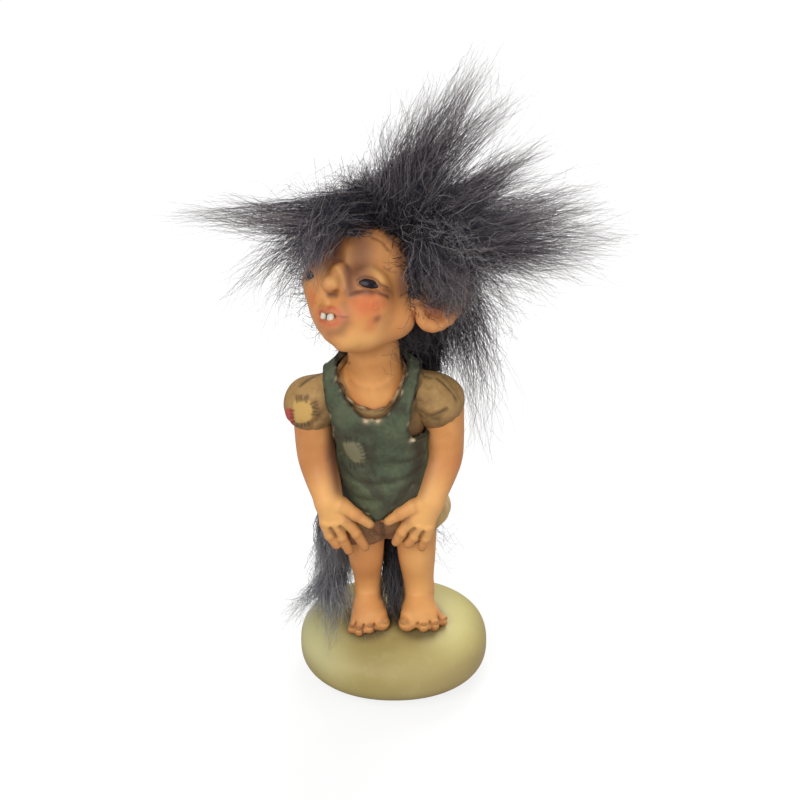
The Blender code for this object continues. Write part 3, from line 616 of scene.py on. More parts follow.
def stone_paint():
    """A light olive pebble, satin varnished, with painted shade low down and round the feet and painted light
    up high.
    """
    paint = Paint("stone_olive", coat_weight=0.10, coat_roughness=0.45, specular_ior_level=0.3)
    across = paint.node("ShaderNodeSeparateXYZ", {}, {0: paint.where()}, output=0)
    height = paint.node("ShaderNodeSeparateXYZ", {}, {0: paint.where()}, output=2)
    colour = paint.coats(
        (0.38, 0.30, 0.105),
        (paint.noise(0.05, 3.0).between(0.35, 0.65), (0.44, 0.35, 0.135)),
        # Painted shade: browner low down, most towards +x
        (across.between(-10, 20) * (1 - height.between(2, 15)) * 0.6, (0.34, 0.225, 0.10)),
        # Painted light high up towards +x
        (across.between(3, 20) * height.between(11, 18) * 0.8, (0.60, 0.56, 0.21)),
        # Painted light on the upper part towards -x
        ((1 - across.between(-22, -7)) * height.between(5, 13) * 0.8, (0.58, 0.55, 0.28)),
        (paint.noise(0.25, 4.0, 0.6).between(0.52, 0.70) * 0.22, (0.52, 0.46, 0.22)),
        (paint.noise(1.6, 2.0).between(0.70, 0.78) * 0.35, (0.18, 0.14, 0.07)),
        (paint.layer("shade") * 0.7, (0.09, 0.065, 0.035)),
    )
    paint.set(base_color=colour, roughness=paint.noise(0.5).between(0.2, 0.8) * 0.12 + 0.45)
    paint.bump(paint.noise(0.9, 3.0), 0.10, 0.25)
    return paint.material


def eye_paint():
    paint = Paint("eye_black", roughness=0.22, specular_ior_level=0.2)
    ring = paint.noise(0.8).between(0.3, 0.7)
    paint.set(base_color=paint.mix(ring, (0.007, 0.005, 0.009), (0.020, 0.012, 0.016)))
    return paint.material


def tooth_paint():
    paint = Paint("tooth_ivory", coat_weight=0.2, coat_roughness=0.25, roughness=0.35)
    # Painted shade where the tooth dips into its hollows
    root = paint.layer("hollow").between(0.0, 0.05)
    paint.set(base_color=paint.mix(root, (0.64, 0.58, 0.50), (0.45, 0.33, 0.24)))
    return paint.material


def fur_paint(name, root, middle, tip):
    """Fur: dark at the root and browner to the tip, each hair its own tone, a third of them lighter."""
    paint = Paint(name, specular_ior_level=0.35)
    along = paint.layer("along")
    tone = paint.layer("tone")
    colour = paint.coats(
        root,
        (along.between(0.0, 0.4), middle),
        ((along + tone * 0.6 - 0.3).between(0.3, 0.95), tip),
        (tone.between(0.60, 0.95) * 0.7, tip),
        ((1 - tone).between(0.5, 1.0) * 0.6, root),
    )
    paint.set(base_color=colour, roughness=tone * 0.15 + 0.30)
    return paint.material


# The skull as a ball in the head's own frame
SKULL_CENTRE = spot(0, 2.4, 3.4)
SKULL_RADII = spot(13.6, 13.5, 13.2)


def skin_form(clay):
    """The skin from the trunk up through the neck into the head, without the face."""
    trunk = [trunk_point(0.05), trunk_point(0.35), trunk_point(0.8)]
    clay.add_limb(trunk, [WAIST_RADIUS, WAIST_RADIUS, CHEST_RADIUS], 2)
    clay.add(ball(trunk_point(0.72, -1.2), (CHEST_RADIUS * 1.2, CHEST_RADIUS, CHEST_RADIUS * 1.1)), 2)
    clay.add(rod(shoulder(-1), shoulder(1), SHOULDER_RADIUS, SHOULDER_RADIUS), 3)
    clay.add(rod(trunk_point(0.90), NECK_TOP + spot(0, 0, 2), NECK_RADIUS * 1.05, NECK_RADIUS * 0.98), 5)
    clay.add(ball(in_head(*SKULL_CENTRE), SKULL_RADII, HEAD_TURN), 3)
    clay.add(ball(in_head(0, -3.3, -7.0), (11.2, 10.4, 9.6), HEAD_TURN), 5)


# The head casting meets the trunk on this tilted plane
NECK_CUT = NECK_TOP + spot(0, 0, -7.5)
NECK_CUT_TILT = unit(spot(0, -0.35, 1))


def cut_at_neck(obj, upper):
    """Parts the skin where the head casting meets the trunk, and closes the cut."""
    shape = bmesh.new()
    shape.from_mesh(obj.data)
    bmesh.ops.bisect_plane(
        shape,
        geom=[*shape.verts, *shape.edges, *shape.faces],
        plane_co=Vector(NECK_CUT * MM),
        plane_no=Vector(NECK_CUT_TILT),
        clear_inner=upper,
        clear_outer=not upper,
    )
    rim = [edge for edge in shape.edges if edge.is_boundary]
    for edge in rim:
        edge.smooth = False
    filled = bmesh.ops.contextual_create(shape, geom=rim)
    bmesh.ops.triangulate(shape, faces=filled["faces"])
    shape.to_mesh(obj.data)
    shape.free()


# The layers of paint that the castings carry, painted shade and highlights among them
SKIN_PAINTS = ("shade_and_dark_lines", "blush", "lips", "painted_highlight", "airbrush_and_shade")
CLOTH_PAINTS = ("shade_and_dark_lines", "patch", "red_patch", "grey_patch", "cream", "grime_and_shade")


def eye_centre(side):
    return in_head(side * 7.4, -10.4, 0.15)


# The eyeball's half sizes
EYEBALL = spot(3.8, 2.5, 2.5)


def lid_turn(side):
    return HEAD_TURN @ turned("Z", side * 31)


def smiling_eye(clay, side):
    """The lids round one narrow eye: a soft bulge over the eyeball, slit open."""
    lid = lid_turn(side)
    centre = eye_centre(side)

    def at(across, up, out):
        return centre + lid @ spot(side * across, -out, up)

    clay.add(ball(centre, (4.5, 2.9, 3.6), lid), 3.6)
    clay.add_limb([at(-2.3, -1.5, 1.9), at(0.4, -1.8, 2.0), at(2.8, -1.7, 1.4)], [0.35, 0.5, 0.35], 0.9)
    slit = [at(-2.3, 0.1, 2.7), at(-0.9, 0.25, 2.9), at(0.9, 0.1, 2.9), at(2.6, -0.5, 2.4)]
    for i, (start, end) in enumerate(((0.8, 1.25), (1.25, 1.25), (1.25, 0.5))):
        clay.carve(rod(slit[i], slit[i + 1], start, end), 0.1)
    # Painted shade under the lower lid
    clay.stain("shade_and_dark_lines", [at(-2.6, -0.6, 2.0), at(0, -1.2, 2.1), at(2.4, -1.1, 1.8)], 0.3, 0.5)


# How far the mouth is shifted along x, a little to the right of the figure
MOUTH_SHIFT = -0.6


def mouth(clay):
    """Parted smiling lips round the gap that the teeth stand in."""

    def at(across, out, up):
        return in_head(across + MOUTH_SHIFT, -out, up)

    clay.carve(ball(at(0.2, 15.0, -8.9), (2.75, 2.6, 1.5), HEAD_TURN), 0.4)
    upper = []
    for x in np.linspace(-3.3, 3.7, 9):
        upper.append(at(x, 12.9 + 1.5 * cos(x * 0.42), -7.1 - 0.07 * x * x - 0.3 * cos(x * 1.7)))
    lower = [at(x, 12.5 + 1.3 * cos(x * 0.42), -10.6 + 0.2 * x * x) for x in np.linspace(-2.9, 3.3, 9)]
    clay.add_limb(upper, [0.3, 0.6, 0.75, 0.85, 0.75, 0.85, 0.75, 0.6, 0.3], 0.4)
    clay.add_limb(lower, [0.35, 0.7, 0.9, 0.95, 1.0, 0.95, 0.9, 0.7, 0.35], 0.4)
    for side in (1, -1):
        corner = at(side * 3.6 + 0.2, 12.4, -8.2)
        # Creases at the mouth's corners, with painted shade in and beside them
        clay.press([corner, corner + HEAD_TURN @ spot(side * 0.7, 0.4, 0.7)], 0.45, 0.4, 0.7)
        clay.stain("shade_and_dark_lines", [at(side * 2.5, 13.1, -8.6), corner], 0.5, 0.9)
        clay.stain("lips", [at(side * x, 13.2, -8.8 + 0.9 * (x - 2.4)) for x in (0.4, 2.4)], 1.3, 0.7)
    # A crease under the lower lip, with a little painted shade
    clay.press([at(-2.2, 11.6, -12.8), at(2.8, 11.6, -12.8)], 0.9, 0.5, 0.15)
    # Painted shade inside the mouth
    clay.stain("shade_and_dark_lines", [at(-2.2, 12.2, -8.9), at(2.2, 12.2, -8.9)], 0.9, 1.0)


def nose(clay):
    """A snub nose that widens evenly from its bridge to its wings."""
    clay.add(rod(in_head(0, -12.2, 3.4), in_head(0, -15.1, -0.9), 0.8, 1.8), 2.0)
    clay.add(ball(in_head(-0.1, -15.5, -1.3), (2.0, 1.8, 1.6), HEAD_TURN), 1.4)
    for side in (1, -1):
        clay.add(rod(in_head(side * 0.7, -12.6, 2.4), in_head(side * 3.7, -12.4, -2.9), 0.8, 1.15), 2.2)
        hole = in_head(side * 1.5, -15.2, -3.0)
        clay.carve(ball(hole, (0.8, 1.0, 0.6), HEAD_TURN), 0.35)
        # Painted shade under the nostril
        clay.stain("shade_and_dark_lines", [hole + HEAD_TURN @ spot(0, 0.3, 0.2)], 0.7, 1.0)
        wing = [
            in_head(side * 4.2, -12.6, -0.8), in_head(side * 5.3, -11.7, -2.2),
            in_head(side * 5.4, -11.2, -3.8),
        ]
        clay.press(wing, 0.55, 0.3, 0.3)


# The right cheek and jaw stay inside this line on the photo
JAW_LINE = (
    (292, 270), (300, 290), (304, 303), (308, 315), (314, 327), (322.5, 339), (332, 346), (333, 352)
)

# How far each cheek's middle stands across, and its radius
CHEEKS = {1: (6.7, 4.8), -1: (-5.9, 4.3)}


def face(clay):
    """The troll child's face: snub nose, lips parted over two teeth, and round cheeks."""
    clay.add(ball(in_head(-0.3, -9.4, -9.0), (5.8, 4.9, 5.0), HEAD_TURN), 3.5)
    clay.add(ball(in_head(0.4, -9.2, -13.2), (3.5, 3.3, 3.0), HEAD_TURN), 3.0)
    clay.add(ball(in_head(9.4, 1.6, -7.0), 4.1), 4.0)
    for side in (1, -1):
        across, radius = CHEEKS[side]
        clay.add(ball(in_head(across, -7.9, -4.6), radius), 3.2)
    xs, ys = np.array(JAW_LINE).T

    def beyond(points):
        across, down = on_photo(points)
        return (np.interp(down, ys, xs) - across) * PIXEL * 0.85

    clay.keep(beyond, 2.5)
    for side in (1, -1):
        smiling_eye(clay, side)
    nose(clay)
    for side in (1, -1):
        smile = [
            in_head(side * 5.2, -12.2, -4.6), in_head(side * 6.2, -11.4, -7.2),
            in_head(side * 6.0, -10.8, -9.6),
        ]
        clay.press(smile, 0.8, 0.35, 0.1)
    mouth(clay)


# Brown airbrushing with painted shade, painted highlights, dark lines, the blush and the lips, as their
# pixels, radius in millimetres and strength
FACE_SHADES = (
    ("airbrush_and_shade", ((356, 228), (362, 246), (360, 262), (356, 274)), 4.2, 0.9),
    ("airbrush_and_shade", ((368, 228), (368, 250), (363, 266)), 3.0, 0.7),
    ("airbrush_and_shade", ((349, 269), (350, 280), (351, 291)), 2.2, 1.0),
    ("airbrush_and_shade", ((352, 292), (362, 293), (372, 294)), 0.9, 1.0),
    ("airbrush_and_shade", ((330, 232), (334, 248), (338, 260)), 3.4, 0.9),
    ("airbrush_and_shade", ((386, 232), (399, 246), (402, 270), (402, 290)), 2.4, 0.8),
    ("airbrush_and_shade", ((374, 234), (380, 250), (386, 264)), 2.6, 0.3),
    ("airbrush_and_shade", ((384, 292), (392, 294)), 2.0, 0.5),
    ("airbrush_and_shade", ((329, 294), (336, 295)), 0.9, 1.0),
    ("airbrush_and_shade", ((346, 322), (340, 331), (330, 333)), 1.6, 0.65),
    ("airbrush_and_shade", ((345, 304), (348, 316)), 1.4, 0.45),
    ("blush", ((364, 306), (374, 305)), 3.0, 1.0),
    ("blush", ((357, 304), (366, 300), (382, 304)), 2.0, 0.8),
    ("blush", ((372, 314), (370, 328)), 1.6, 0.6),
    ("blush", ((312, 296), (312, 304)), 2.0, 0.7),
    ("blush", ((323, 252), (320, 262)), 1.6, 0.7),
    ("lips", ((319.5, 312), (325.8, 309.8), (332.4, 308.4), (338.6, 312.4), (342, 316.6)), 0.66, 1.0),
    ("lips", ((321, 320.5), (325.8, 323.5), (331.2, 325), (337.2, 322.6), (341.6, 318)), 0.72, 1.0),
    ("shade_and_dark_lines", ((336.6, 316), (342, 317), (348, 317.3)), 0.22, 0.8),
    ("painted_highlight", ((337, 267), (342, 275), (345, 285), (351.5, 296)), 0.5, 1.0),
    ("painted_highlight", ((328, 278), (335, 283)), 1.6, 0.8),
    ("painted_highlight", ((370, 268), (376, 272), (381, 279)), 1.1, 1.0),
    ("painted_highlight", ((318, 332), (326, 342)), 1.6, 0.8),
    ("painted_highlight", ((326, 298), (328, 303)), 0.6, 0.7),
    ("painted_highlight", ((352, 342), (368, 337)), 4.5, 0.8),
    ("painted_highlight", ((350, 249), (348, 262)), 1.0, 0.6),
)

# The furrows, as their pixels, width, depth and how much painted shade lies in them
FACE_FURROWS = (
    (((372, 237), (381, 241), (389, 250)), 0.32, 0.25, 0.6),
    (((385, 267), (391, 271), (397, 272)), 0.32, 0.25, 0.3),
    (
        ((357, 280), (359.5, 277.6), (365, 276.3), (371.5, 277.3), (377, 280.6), (381, 284.6), (388, 288)),
        0.28, 0.12, 1.0,
    ),
    (((350, 295), (359, 292), (367, 290.5), (378, 292.5), (389, 297)), 0.4, 0.3, 0.9),
    (((379, 286), (385, 290), (391, 291)), 0.3, 0.2, 0.6),
)

# The wart on the left cheek and the dimple, as pixels
WART = (374.4, 305.6)
WART_RADII = (3.0, 4.2)
DIMPLE = (378, 320)


def face_marks(clay):
    """The wart, the dimple, the furrows and the airbrushed shades, where the photo shows them."""
    ring = []
    for angle in np.linspace(0.6, 2 * pi - 0.6, 8):
        ring.append((WART[0] + WART_RADII[0] * cos(angle), WART[1] + WART_RADII[1] * sin(angle)))
    wart = clay.seen(ring)
    clay.press(wart, 0.32, -0.40)
    dimple = clay.seen([DIMPLE])
    clay.press(dimple, 0.9, 0.55)
    # Painted shade in the dimple, and a painted highlight round the wart
    clay.stain("airbrush_and_shade", dimple, 1.1, 1.0)
    clay.stain("painted_highlight", wart, 0.35, 0.8)
    for pixels, width, depth, shade_and_dark_lines in FACE_FURROWS:
        clay.press(clay.seen(pixels), width, depth, shade_and_dark_lines)
    # Airbrushing, painted shade and highlights, blush and lips
    for name, pixels, radius, strength in FACE_SHADES:
        clay.stain(name, clay.seen(pixels), radius, strength)


def make_head(finish):
    low = HEAD_CENTRE - spot(19, 19, 24)
    clay = Clay(low, HEAD_CENTRE + spot(18, 19, 19), 0.24)
    skin_form(clay)
    face(clay)
    face_marks(clay)
    obj = cast_from(clay, "head", SKIN_PAINTS, smoothing=2)
    cut_at_neck(obj, upper=True)
    place(obj, finish, "skin", "head")


# The ridges of the collarbones and the light between them, as pixels
COLLARBONES = (((352, 380), (360, 386), (369, 388)), ((392, 378), (386, 384), (378, 388)))
CHEST_LIGHT = (372, 392)


def make_torso(finish):
    low = spot(HIPS[0] - 22, -16, HIPS[2] - 4)
    clay = Clay(low, spot(HIPS[0] + 18, 17, NECK_TOP[2] - 1), 0.34)
    skin_form(clay)
    for pixels in COLLARBONES:
        clay.press(clay.seen(pixels), 0.9, -0.2)
    clay.stain("painted_highlight", clay.seen([CHEST_LIGHT]), 4.5, 0.4)
    obj = cast_from(clay, "torso_core", SKIN_PAINTS)
    cut_at_neck(obj, upper=False)
    place(obj, finish, "skin", "torso_core")


def make_teeth(finish):
    middle = in_head(MOUTH_SHIFT, -13.9, -8.4)
    clay = Clay(middle - 4, middle + 4, 0.11)
    for across, width, drop, rise in ((1.0, 1.0, 1.35, -0.5), (-1.05, 0.76, 1.2, -0.3)):
        tooth = middle + HEAD_TURN @ spot(across, 0.1 * abs(across), rise)
        clay.add(ball(tooth, (width, 0.75, drop), HEAD_TURN), 0.05)
        for corner in (0.45, -0.45):
            foot = tooth + HEAD_TURN @ spot(corner * width, 0.05, -0.45)
            clay.add(ball(foot, (width * 0.5, 0.6, drop * 0.55), HEAD_TURN), 0.15)
    place(cast_from(clay, "front_teeth", smoothing=2), finish, "tooth_ivory", "front_teeth")


def make_eye(name, side, finish):
    centre = eye_centre(side)
    clay = Clay(centre - 3.8, centre + 3.8, 0.16)
    clay.add(ball(centre, EYEBALL, lid_turn(side)), 0)
    place(cast_from(clay, name), finish, "eye_black", name)


# Each ear's middle, in the head's own frame
EAR_PLACES = {"left": (17.4, 6.2, 0.2), "right": (-15.9, 6.2, 0.2)}


def make_ear(name, side, finish):
    """A large cupped ear: a rolled rim round a hollow, with a fat lobe."""
    turn = HEAD_TURN @ turned("Z", side * 50) @ turned("Y", side * 14)
    middle = in_head(*EAR_PLACES[name.split("_")[0]])

    def at(inward, back, up):
        return middle + turn @ spot(-side * inward, back, up)

    clay = Clay(middle - 13, middle + 11.5, 0.24)
    clay.add(ball(middle, (5.4, 1.5, 8.2), turn), 1)
    clay.add(rod(in_head(side * 11.0, 3.0, -3.4), at(2, 0, -1), 3.2, 1.5), 2)
    angles = [radians(150 - 290 * i / 14) for i in range(15)]
    rim = [at(-cos(angle) * 5.2, -1.0, sin(angle) * 7.7) for angle in angles]
    clay.add_limb(rim, [0.9] + [1.15] * 13 + [1.3], 0.7)
    clay.add(ball(at(0.4, -0.8, -7.0), (3.0, 1.5, 2.1), turn), 1.2)
    clay.carve(ball(at(-0.3, -2.0, 0.6), (3.6, 1.6, 5.6), turn), 0.8)
    inner = [at(-x, -1.1, z) for x, z in ((2.2, 4.6), (2.4, 0.6), (1.0, -3.0), (-1.6, -4.0))]
    clay.press(inner, 0.6, -0.5)
    # Painted shade in the ear's hollow
    clay.stain("airbrush_and_shade", [at(-0.5, -0.6, 1.5)], 4.4, 0.9)
    clay.stain("blush", [at(0.6, -1.0, -3.8)], 2.8, 0.9)
    place(cast_from(clay, name, SKIN_PAINTS), finish, "skin", name)


# Each toe's tip on the photo and its radius, from the big one
TOES = {
    "left": (((407, 622.5), 2.25), ((423, 625.5), 1.45), ((434, 624), 1.4), ((443, 619.5), 1.2)),
    "right": (((381.5, 622), 2.2), ((369.5, 627), 1.45), ((359.5, 629), 1.35), ((352, 627), 1.15)),
}

# Each leg's radii at the ankle, the calf, below the knee, the knee and the hip
LEG_RADII = {"left": (3.7, 4.2, 4.6, 4.9, 5.1), "right": (3.2, 3.7, 4.3, 4.6, 5.0)}


def make_leg(name, side, finish):
    word = name.split("_")[0]
    sole, ankle, knee, hip = leg_joints(side)
    clay = Clay(spot(sole[0] - 10.5, -15, sole[2] - 4), spot(sole[0] + 10.5, 12, hip[2] + 4), 0.27)
    points = [ankle, (ankle + knee) / 2 + spot(0, 0.4, 0.5), ankle * 0.25 + knee * 0.75, knee, hip]
    clay.add_smooth_limb(points, LEG_RADII[word])
    clay.add(ball(sole + spot(0, 3.2, 2.9), (3.0, 3.4, 3.2)), 2.5)
    instep = sole + spot(0, -3.0, 2.7)
    clay.add(rod(ankle + spot(0, 0, 0.5), instep, LEG_RADII[word][0] - 0.5, 3.3), 2.5)
    tips, roots = [], []
    for pixel, radius in TOES[word]:
        tip = through(pixel, "z", STONE_HEIGHT + radius * 0.8)
        tip[2] = stone_top(tip[0], tip[1]) + radius * 0.85
        root = tip + (instep - tip) * 0.42
        root[2] = stone_top(root[0], root[1]) + radius * 0.9 + 0.9
        clay.add(rod(instep, root, 3.2, radius + 0.8), 2.2)
        clay.add(rod(root, tip, radius + 0.25, radius), 0.25)
        if radius < 2:
            tall = spot(0, 0, 0.8)
            clay.add(rod(root + tall, tip + (root - tip) * 0.12 + tall, radius + 0.2, radius * 0.92), 0.3)
        tips.append((tip + spot(0, 0, 0.7 if radius < 2 else 0), radius))
        roots.append(root)
    for i, (tip, radius) in enumerate(tips):
        ahead = unit((tip - roots[i]) * spot(1, 1, 0))
        across = spot(-ahead[1], ahead[0], 0)
        nail = tip + ahead * radius * 0.50 + spot(0, 0, radius * 0.60)
        turn = np.column_stack([across, ahead, spot(0, 0, 1)])
        clay.add(ball(nail + spot(0, 0, 0.1), radius * spot(0.62, 0.62, 0.42), turn), 0.1)
        rim = []
        for k, a in enumerate(np.linspace(0, pi, 9)):
            point = nail + across * cos(a) * radius * 0.72 - ahead * (sin(a) - 0.4) * radius * 0.75
            rim.append(point - spot(0, 0, 0.10 * radius * abs(k - 4) / 4))
        # A dark line round the nail, and a painted highlight on it
        clay.stain("shade_and_dark_lines", rim, 0.22, 0.6)
        clay.stain("painted_highlight", [nail + ahead * radius * 0.3], radius * 0.6, 0.9)
        # A crease over the toe's knuckle, with painted shade in it
        knuckle = tip - ahead * radius * 0.75 + spot(0, 0, radius * 0.95)
        clay.press([knuckle - across * radius * 0.6, knuckle + across * radius * 0.6], 0.25, 0.15, 0.45)
        # The gap to the toe before, with painted shade in it
        if i:
            before, size = tips[i - 1]
            end = (tip * size + before * radius) / (size + radius) + ahead * 1.2
            start = (roots[i] + roots[i - 1]) / 2 + ahead * 1.2 + spot(0, 0, 1.4)
            clay.press([start, end], 0.36, 0.42, 0.95)
            clay.stain("shade_and_dark_lines", [end, end - spot(0, 0, 2.2)], 0.45, 0.95)
    # Painted highlight on the foot, and on the left leg's shin
    painted_highlight = 0.55 if side > 0 else 0.35
    clay.stain("painted_highlight", [instep + spot(0, -1, 3), instep + spot(0, -5, 1)], 4.5, painted_highlight)
    if side > 0:
        clay.stain("painted_highlight", [ankle + spot(0.5, -3, 4), knee + spot(0.5, -3, 0)], 4.5, 0.75)
    # Painted shade on the inner side of the leg
    clay.stain("airbrush_and_shade", [ankle + spot(-side * 3.6, 0, -2), knee + spot(-side * 4.4, 0, -2)], 1.7, 0.6)
    clay.keep(lambda points: stone_top(points[..., 0], points[..., 1]) + 0.05 - points[..., 2])
    place(cast_from(clay, name, SKIN_PAINTS, smoothing=3), finish, "skin", name)


# Where each wrist shows on the photo
WRISTS = {"left": (430, 499), "right": (328.5, 499)}

# The thumb's joints on the photo, from its root to its tip
THUMBS = {"left": ((414, 508), (400, 514), (388, 521.5)), "right": ((342, 507), (356, 515), (370, 524.3))}

# Each finger's joints on the photo, from the inside of the hand outwards
FINGERS = {
    "left": (
        ((410, 521), (402, 532), (396, 542)),
        ((419, 525), (414, 536), (408, 544)),
        ((428, 527), (426, 538), (422, 547)),
    ),
    "right": (
        ((345, 520), (356, 533), (365, 547)),
        ((335, 522), (342, 537), (349, 550.5)),
        ((326, 523), (330, 535), (336.5, 545)),
    ),
}

# How far forward the hands lie
THUMB_DEPTH = -10.4
FINGER_DEPTH = -9.6


def make_arm(name, side, finish):
    word = name.split("_")[0]
    top, elbow, _ = arm_joints(side)
    elbow = elbow + spot(-side * (0.3 if side > 0 else 1.2), 0, 0)
    wrist = through(WRISTS[word], "y", -7.6)
    clay = Clay(
        spot(min(top[0], -side * 3) - 8, -16, 40), spot(max(top[0], -side * 3) + 8, 8, top[2] + 6), 0.25
    )
    points = [top, top + (elbow - top) * 0.6, elbow, (elbow + wrist) / 2, wrist]
    clay.add_smooth_limb(points, [4.8, 4.95, 4.8, 4.35, 3.6])
    thumb = [through(pixel, "y", THUMB_DEPTH) for pixel in THUMBS[word]]
    thumb[0] = thumb[0] + spot(0, 1.0, 0)
    knuckles = []
    for pixels in FINGERS[word]:
        joints = [through(pixel, "y", FINGER_DEPTH + 0.5 * k) for k, pixel in enumerate(pixels)]
        knuckles.append(joints[0])
        clay.add(rod(wrist + spot(0, -0.3, -1), joints[0] + spot(0, 0.5, 0), 2.9, 1.8), 1.4)
        clay.add_limb(joints, [1.75, 1.45, 1.2], 0.3)
        clay.add(ball(joints[1] + spot(0, -0.3, 0), 1.38), 0.4)
        crease = joints[0] + (joints[1] - joints[0]) * 0.95 + spot(0, -1.1, 0.3)
        clay.press([crease - spot(0.8, 0, 0), crease + spot(0.8, 0, 0)], 0.22, 0.1, 0.25)
        tip = joints[2] + spot(0, -0.75, 0.35)
        nail = [tip + spot(0.55 * cos(a), -0.2, 0.65 * sin(a)) for a in np.linspace(0, pi, 6)]
        clay.press(nail, 0.16, 0.12, 0.45)
    # Painted highlight on the back of the hand
    clay.stain("painted_highlight", [wrist + spot(0, -2, 2), knuckles[1] + spot(0, -2, 0)], 5.6, 1.0)
    # Gaps between the fingers, with painted shade in them
    for before, after, pixels in zip(knuckles, knuckles[1:], zip(FINGERS[word], FINGERS[word][1:])):
        ends = (np.array(pixels[0][1]) + np.array(pixels[1][1])) / 2
        gap = [(before + after) / 2 + spot(0, -1.3, -0.9), through(ends, "y", FINGER_DEPTH - 0.4)]
        clay.press(gap, 0.45, 0.5, 1.0)
        clay.stain("shade_and_dark_lines", gap + [through(ends + (0, 3), "y", FINGER_DEPTH + 0.6)], 0.6, 0.8)
    clay.add_limb(thumb, [2.1, 1.5, 1.15], 0.8)
    # Painted shade in the thumb's web, and a painted highlight on the thumb
    web = [knuckles[0] + spot(-side * 0.6, -1.2, 1.4), knuckles[0] + spot(-side * 2.4, -1.0, 0.6)]
    clay.stain("airbrush_and_shade", web, 1.1, 0.6)
    clay.stain("painted_highlight", thumb[1:], 1.8, 0.8)
    nail = [thumb[2] + spot(0.6 * cos(a), -1.05, 0.6 * sin(a) + 0.2) for a in np.linspace(0, pi, 6)]
    clay.press(nail, 0.16, 0.12, 0.4)
    clay.press([elbow + spot(-side * 3.0, -3.6, 1.6), elbow + spot(side * 0.6, -4.6, 0.6)], 0.5, 0.15, 0.15)
    clay.stain("blush", [elbow + spot(side * 3, -2, 0)], 4.0, 0.25)
    # Painted shade on the inner side of the arm, and on the right arm's front
    inside = [
        top + spot(-side * 4.0, -2.6, -7), elbow + spot(-side * 4.2, -3.0, 1),
        wrist + spot(-side * 3.2, -1, 4),
    ]
    clay.stain("airbrush_and_shade", inside, 2.4, 0.6 if side > 0 else 1.0)
    if side < 0:
        clay.stain("airbrush_and_shade", [top + spot(0, -4, -5), elbow + spot(0, -4.5, 0)], 4.2, 0.22)
    place(cast_from(clay, name, SKIN_PAINTS, smoothing=3), finish, "skin", name)


# Where a cuff shows behind the right hand's fingers
CUFF_BEHIND_HAND = (349, 527)

# The shorts' folds as pixels, each with its width, depth and how much painted shade lies in it. The first is
# the seam.
SHORTS_FOLDS = (
    (((381, 523), (383, 532), (385, 542)), 0.5, 0.5, 0.85),
    (((362, 527), (370, 534), (380, 537)), 0.7, 0.25, 0.25),
    (((405, 526), (398, 533), (388, 537)), 0.7, 0.25, 0.25),
    (((372, 530), (378, 540)), 0.7, 0.25, 0.25),
    (((444, 497), (449, 505), (450, 514)), 0.7, 0.25, 0.15),
    (((441, 508), (445, 516)), 0.7, 0.25, 0.15),
)

# Grime with painted shade low in front, and a painted highlight of yellow and cream on the rump, as pixels,
# radius and strength
SHORTS_GRIME_AND_PAINTED_LIGHT = (
    ("grime_and_shade", ((350, 534), (366, 538), (381, 531), (396, 538), (412, 534)), 5.0, 0.7),
    ("patch", ((446, 497), (449, 506), (445, 515)), 4.4, 1.0),
    ("cream", ((447, 497), (449, 508)), 4.0, 0.45),
)


def make_shorts(finish):
    clay = Clay(HIPS - spot(19, 14, 14), HIPS + spot(19, 14, 12), 0.34)
    clay.add(ball(HIPS + spot(0.4, 0, 1.6), (14.0, 10.3, 7.8)), 1)
    clay.add(ball(through(CUFF_BEHIND_HAND, "y", -3), (5.2, 4.8, 4.8)), 2)
    for side in (1, -1):
        _, _, knee, hip = leg_joints(side)
        cuff = knee + (hip - knee) * 0.42 + spot(0, -0.3, 0)
        clay.add(rod(hip + spot(-side * 0.4, -0.2, 1), cuff, 5.6, 5.2), 1.6)
        clay.carve(rod(hip, knee, 5.0, 4.6), 0.4)

    def under_hem(points):
        rise = 0.8 * np.maximum(points[..., 0] - 5.5, 0) + 0.5 * np.maximum(-9.5 - points[..., 0], 0)
        return 42.0 + np.minimum(rise, 2.4) + 0.2 * ripple(points, 0.9, 5) - points[..., 2]

    clay.keep(under_hem, 0.5)
    for pixels, width, depth, shade_and_dark_lines in SHORTS_FOLDS:
        clay.press(clay.seen(pixels), width, depth, shade_and_dark_lines)
    random = np.random.default_rng(11)
    for _ in range(10):
        angle = random.uniform(0, pi)
        start = HIPS + spot(14.0 * cos(angle), 10.1 * sin(angle), random.uniform(-3, 4))
        end = start + spot(-2.5 * sin(angle), 2 * cos(angle), random.uniform(-4, 4))
        clay.press([start, end], 1.0, 0.35, 0.3)
    for name, pixels, radius, strength in SHORTS_GRIME_AND_PAINTED_LIGHT:
        clay.stain(name, clay.seen(pixels), radius, strength)
    clay.sink(0.12 * ripple(clay.everywhere(), 0.55, 6))
    place(cast_from(clay, "shorts", CLOTH_PAINTS), finish, "shorts_brown", "shorts")


# The middle of the neckline, across
NECKLINE_CENTRE = -5.2


def dressed_form(clay, wall):
    """The trunk with this much cloth on it."""
    chest = spot(CHEST_RADIUS * 1.2, CHEST_RADIUS, CHEST_RADIUS * 1.1) + wall
    clay.add(ball(trunk_point(0.74, -1.2), chest), 1)
    clay.add(rod(trunk_point(0.3), trunk_point(0.84), WAIST_RADIUS + wall, CHEST_RADIUS + wall), 2)
    clay.add(rod(shoulder(-1), shoulder(1), SHOULDER_RADIUS + wall, SHOULDER_RADIUS + wall), 2.5)
    clay.add(
        rod(trunk_point(0.9), trunk_point(1.04), NECK_RADIUS * 1.1 + wall, NECK_RADIUS * 1.05 + wall), 3
    )


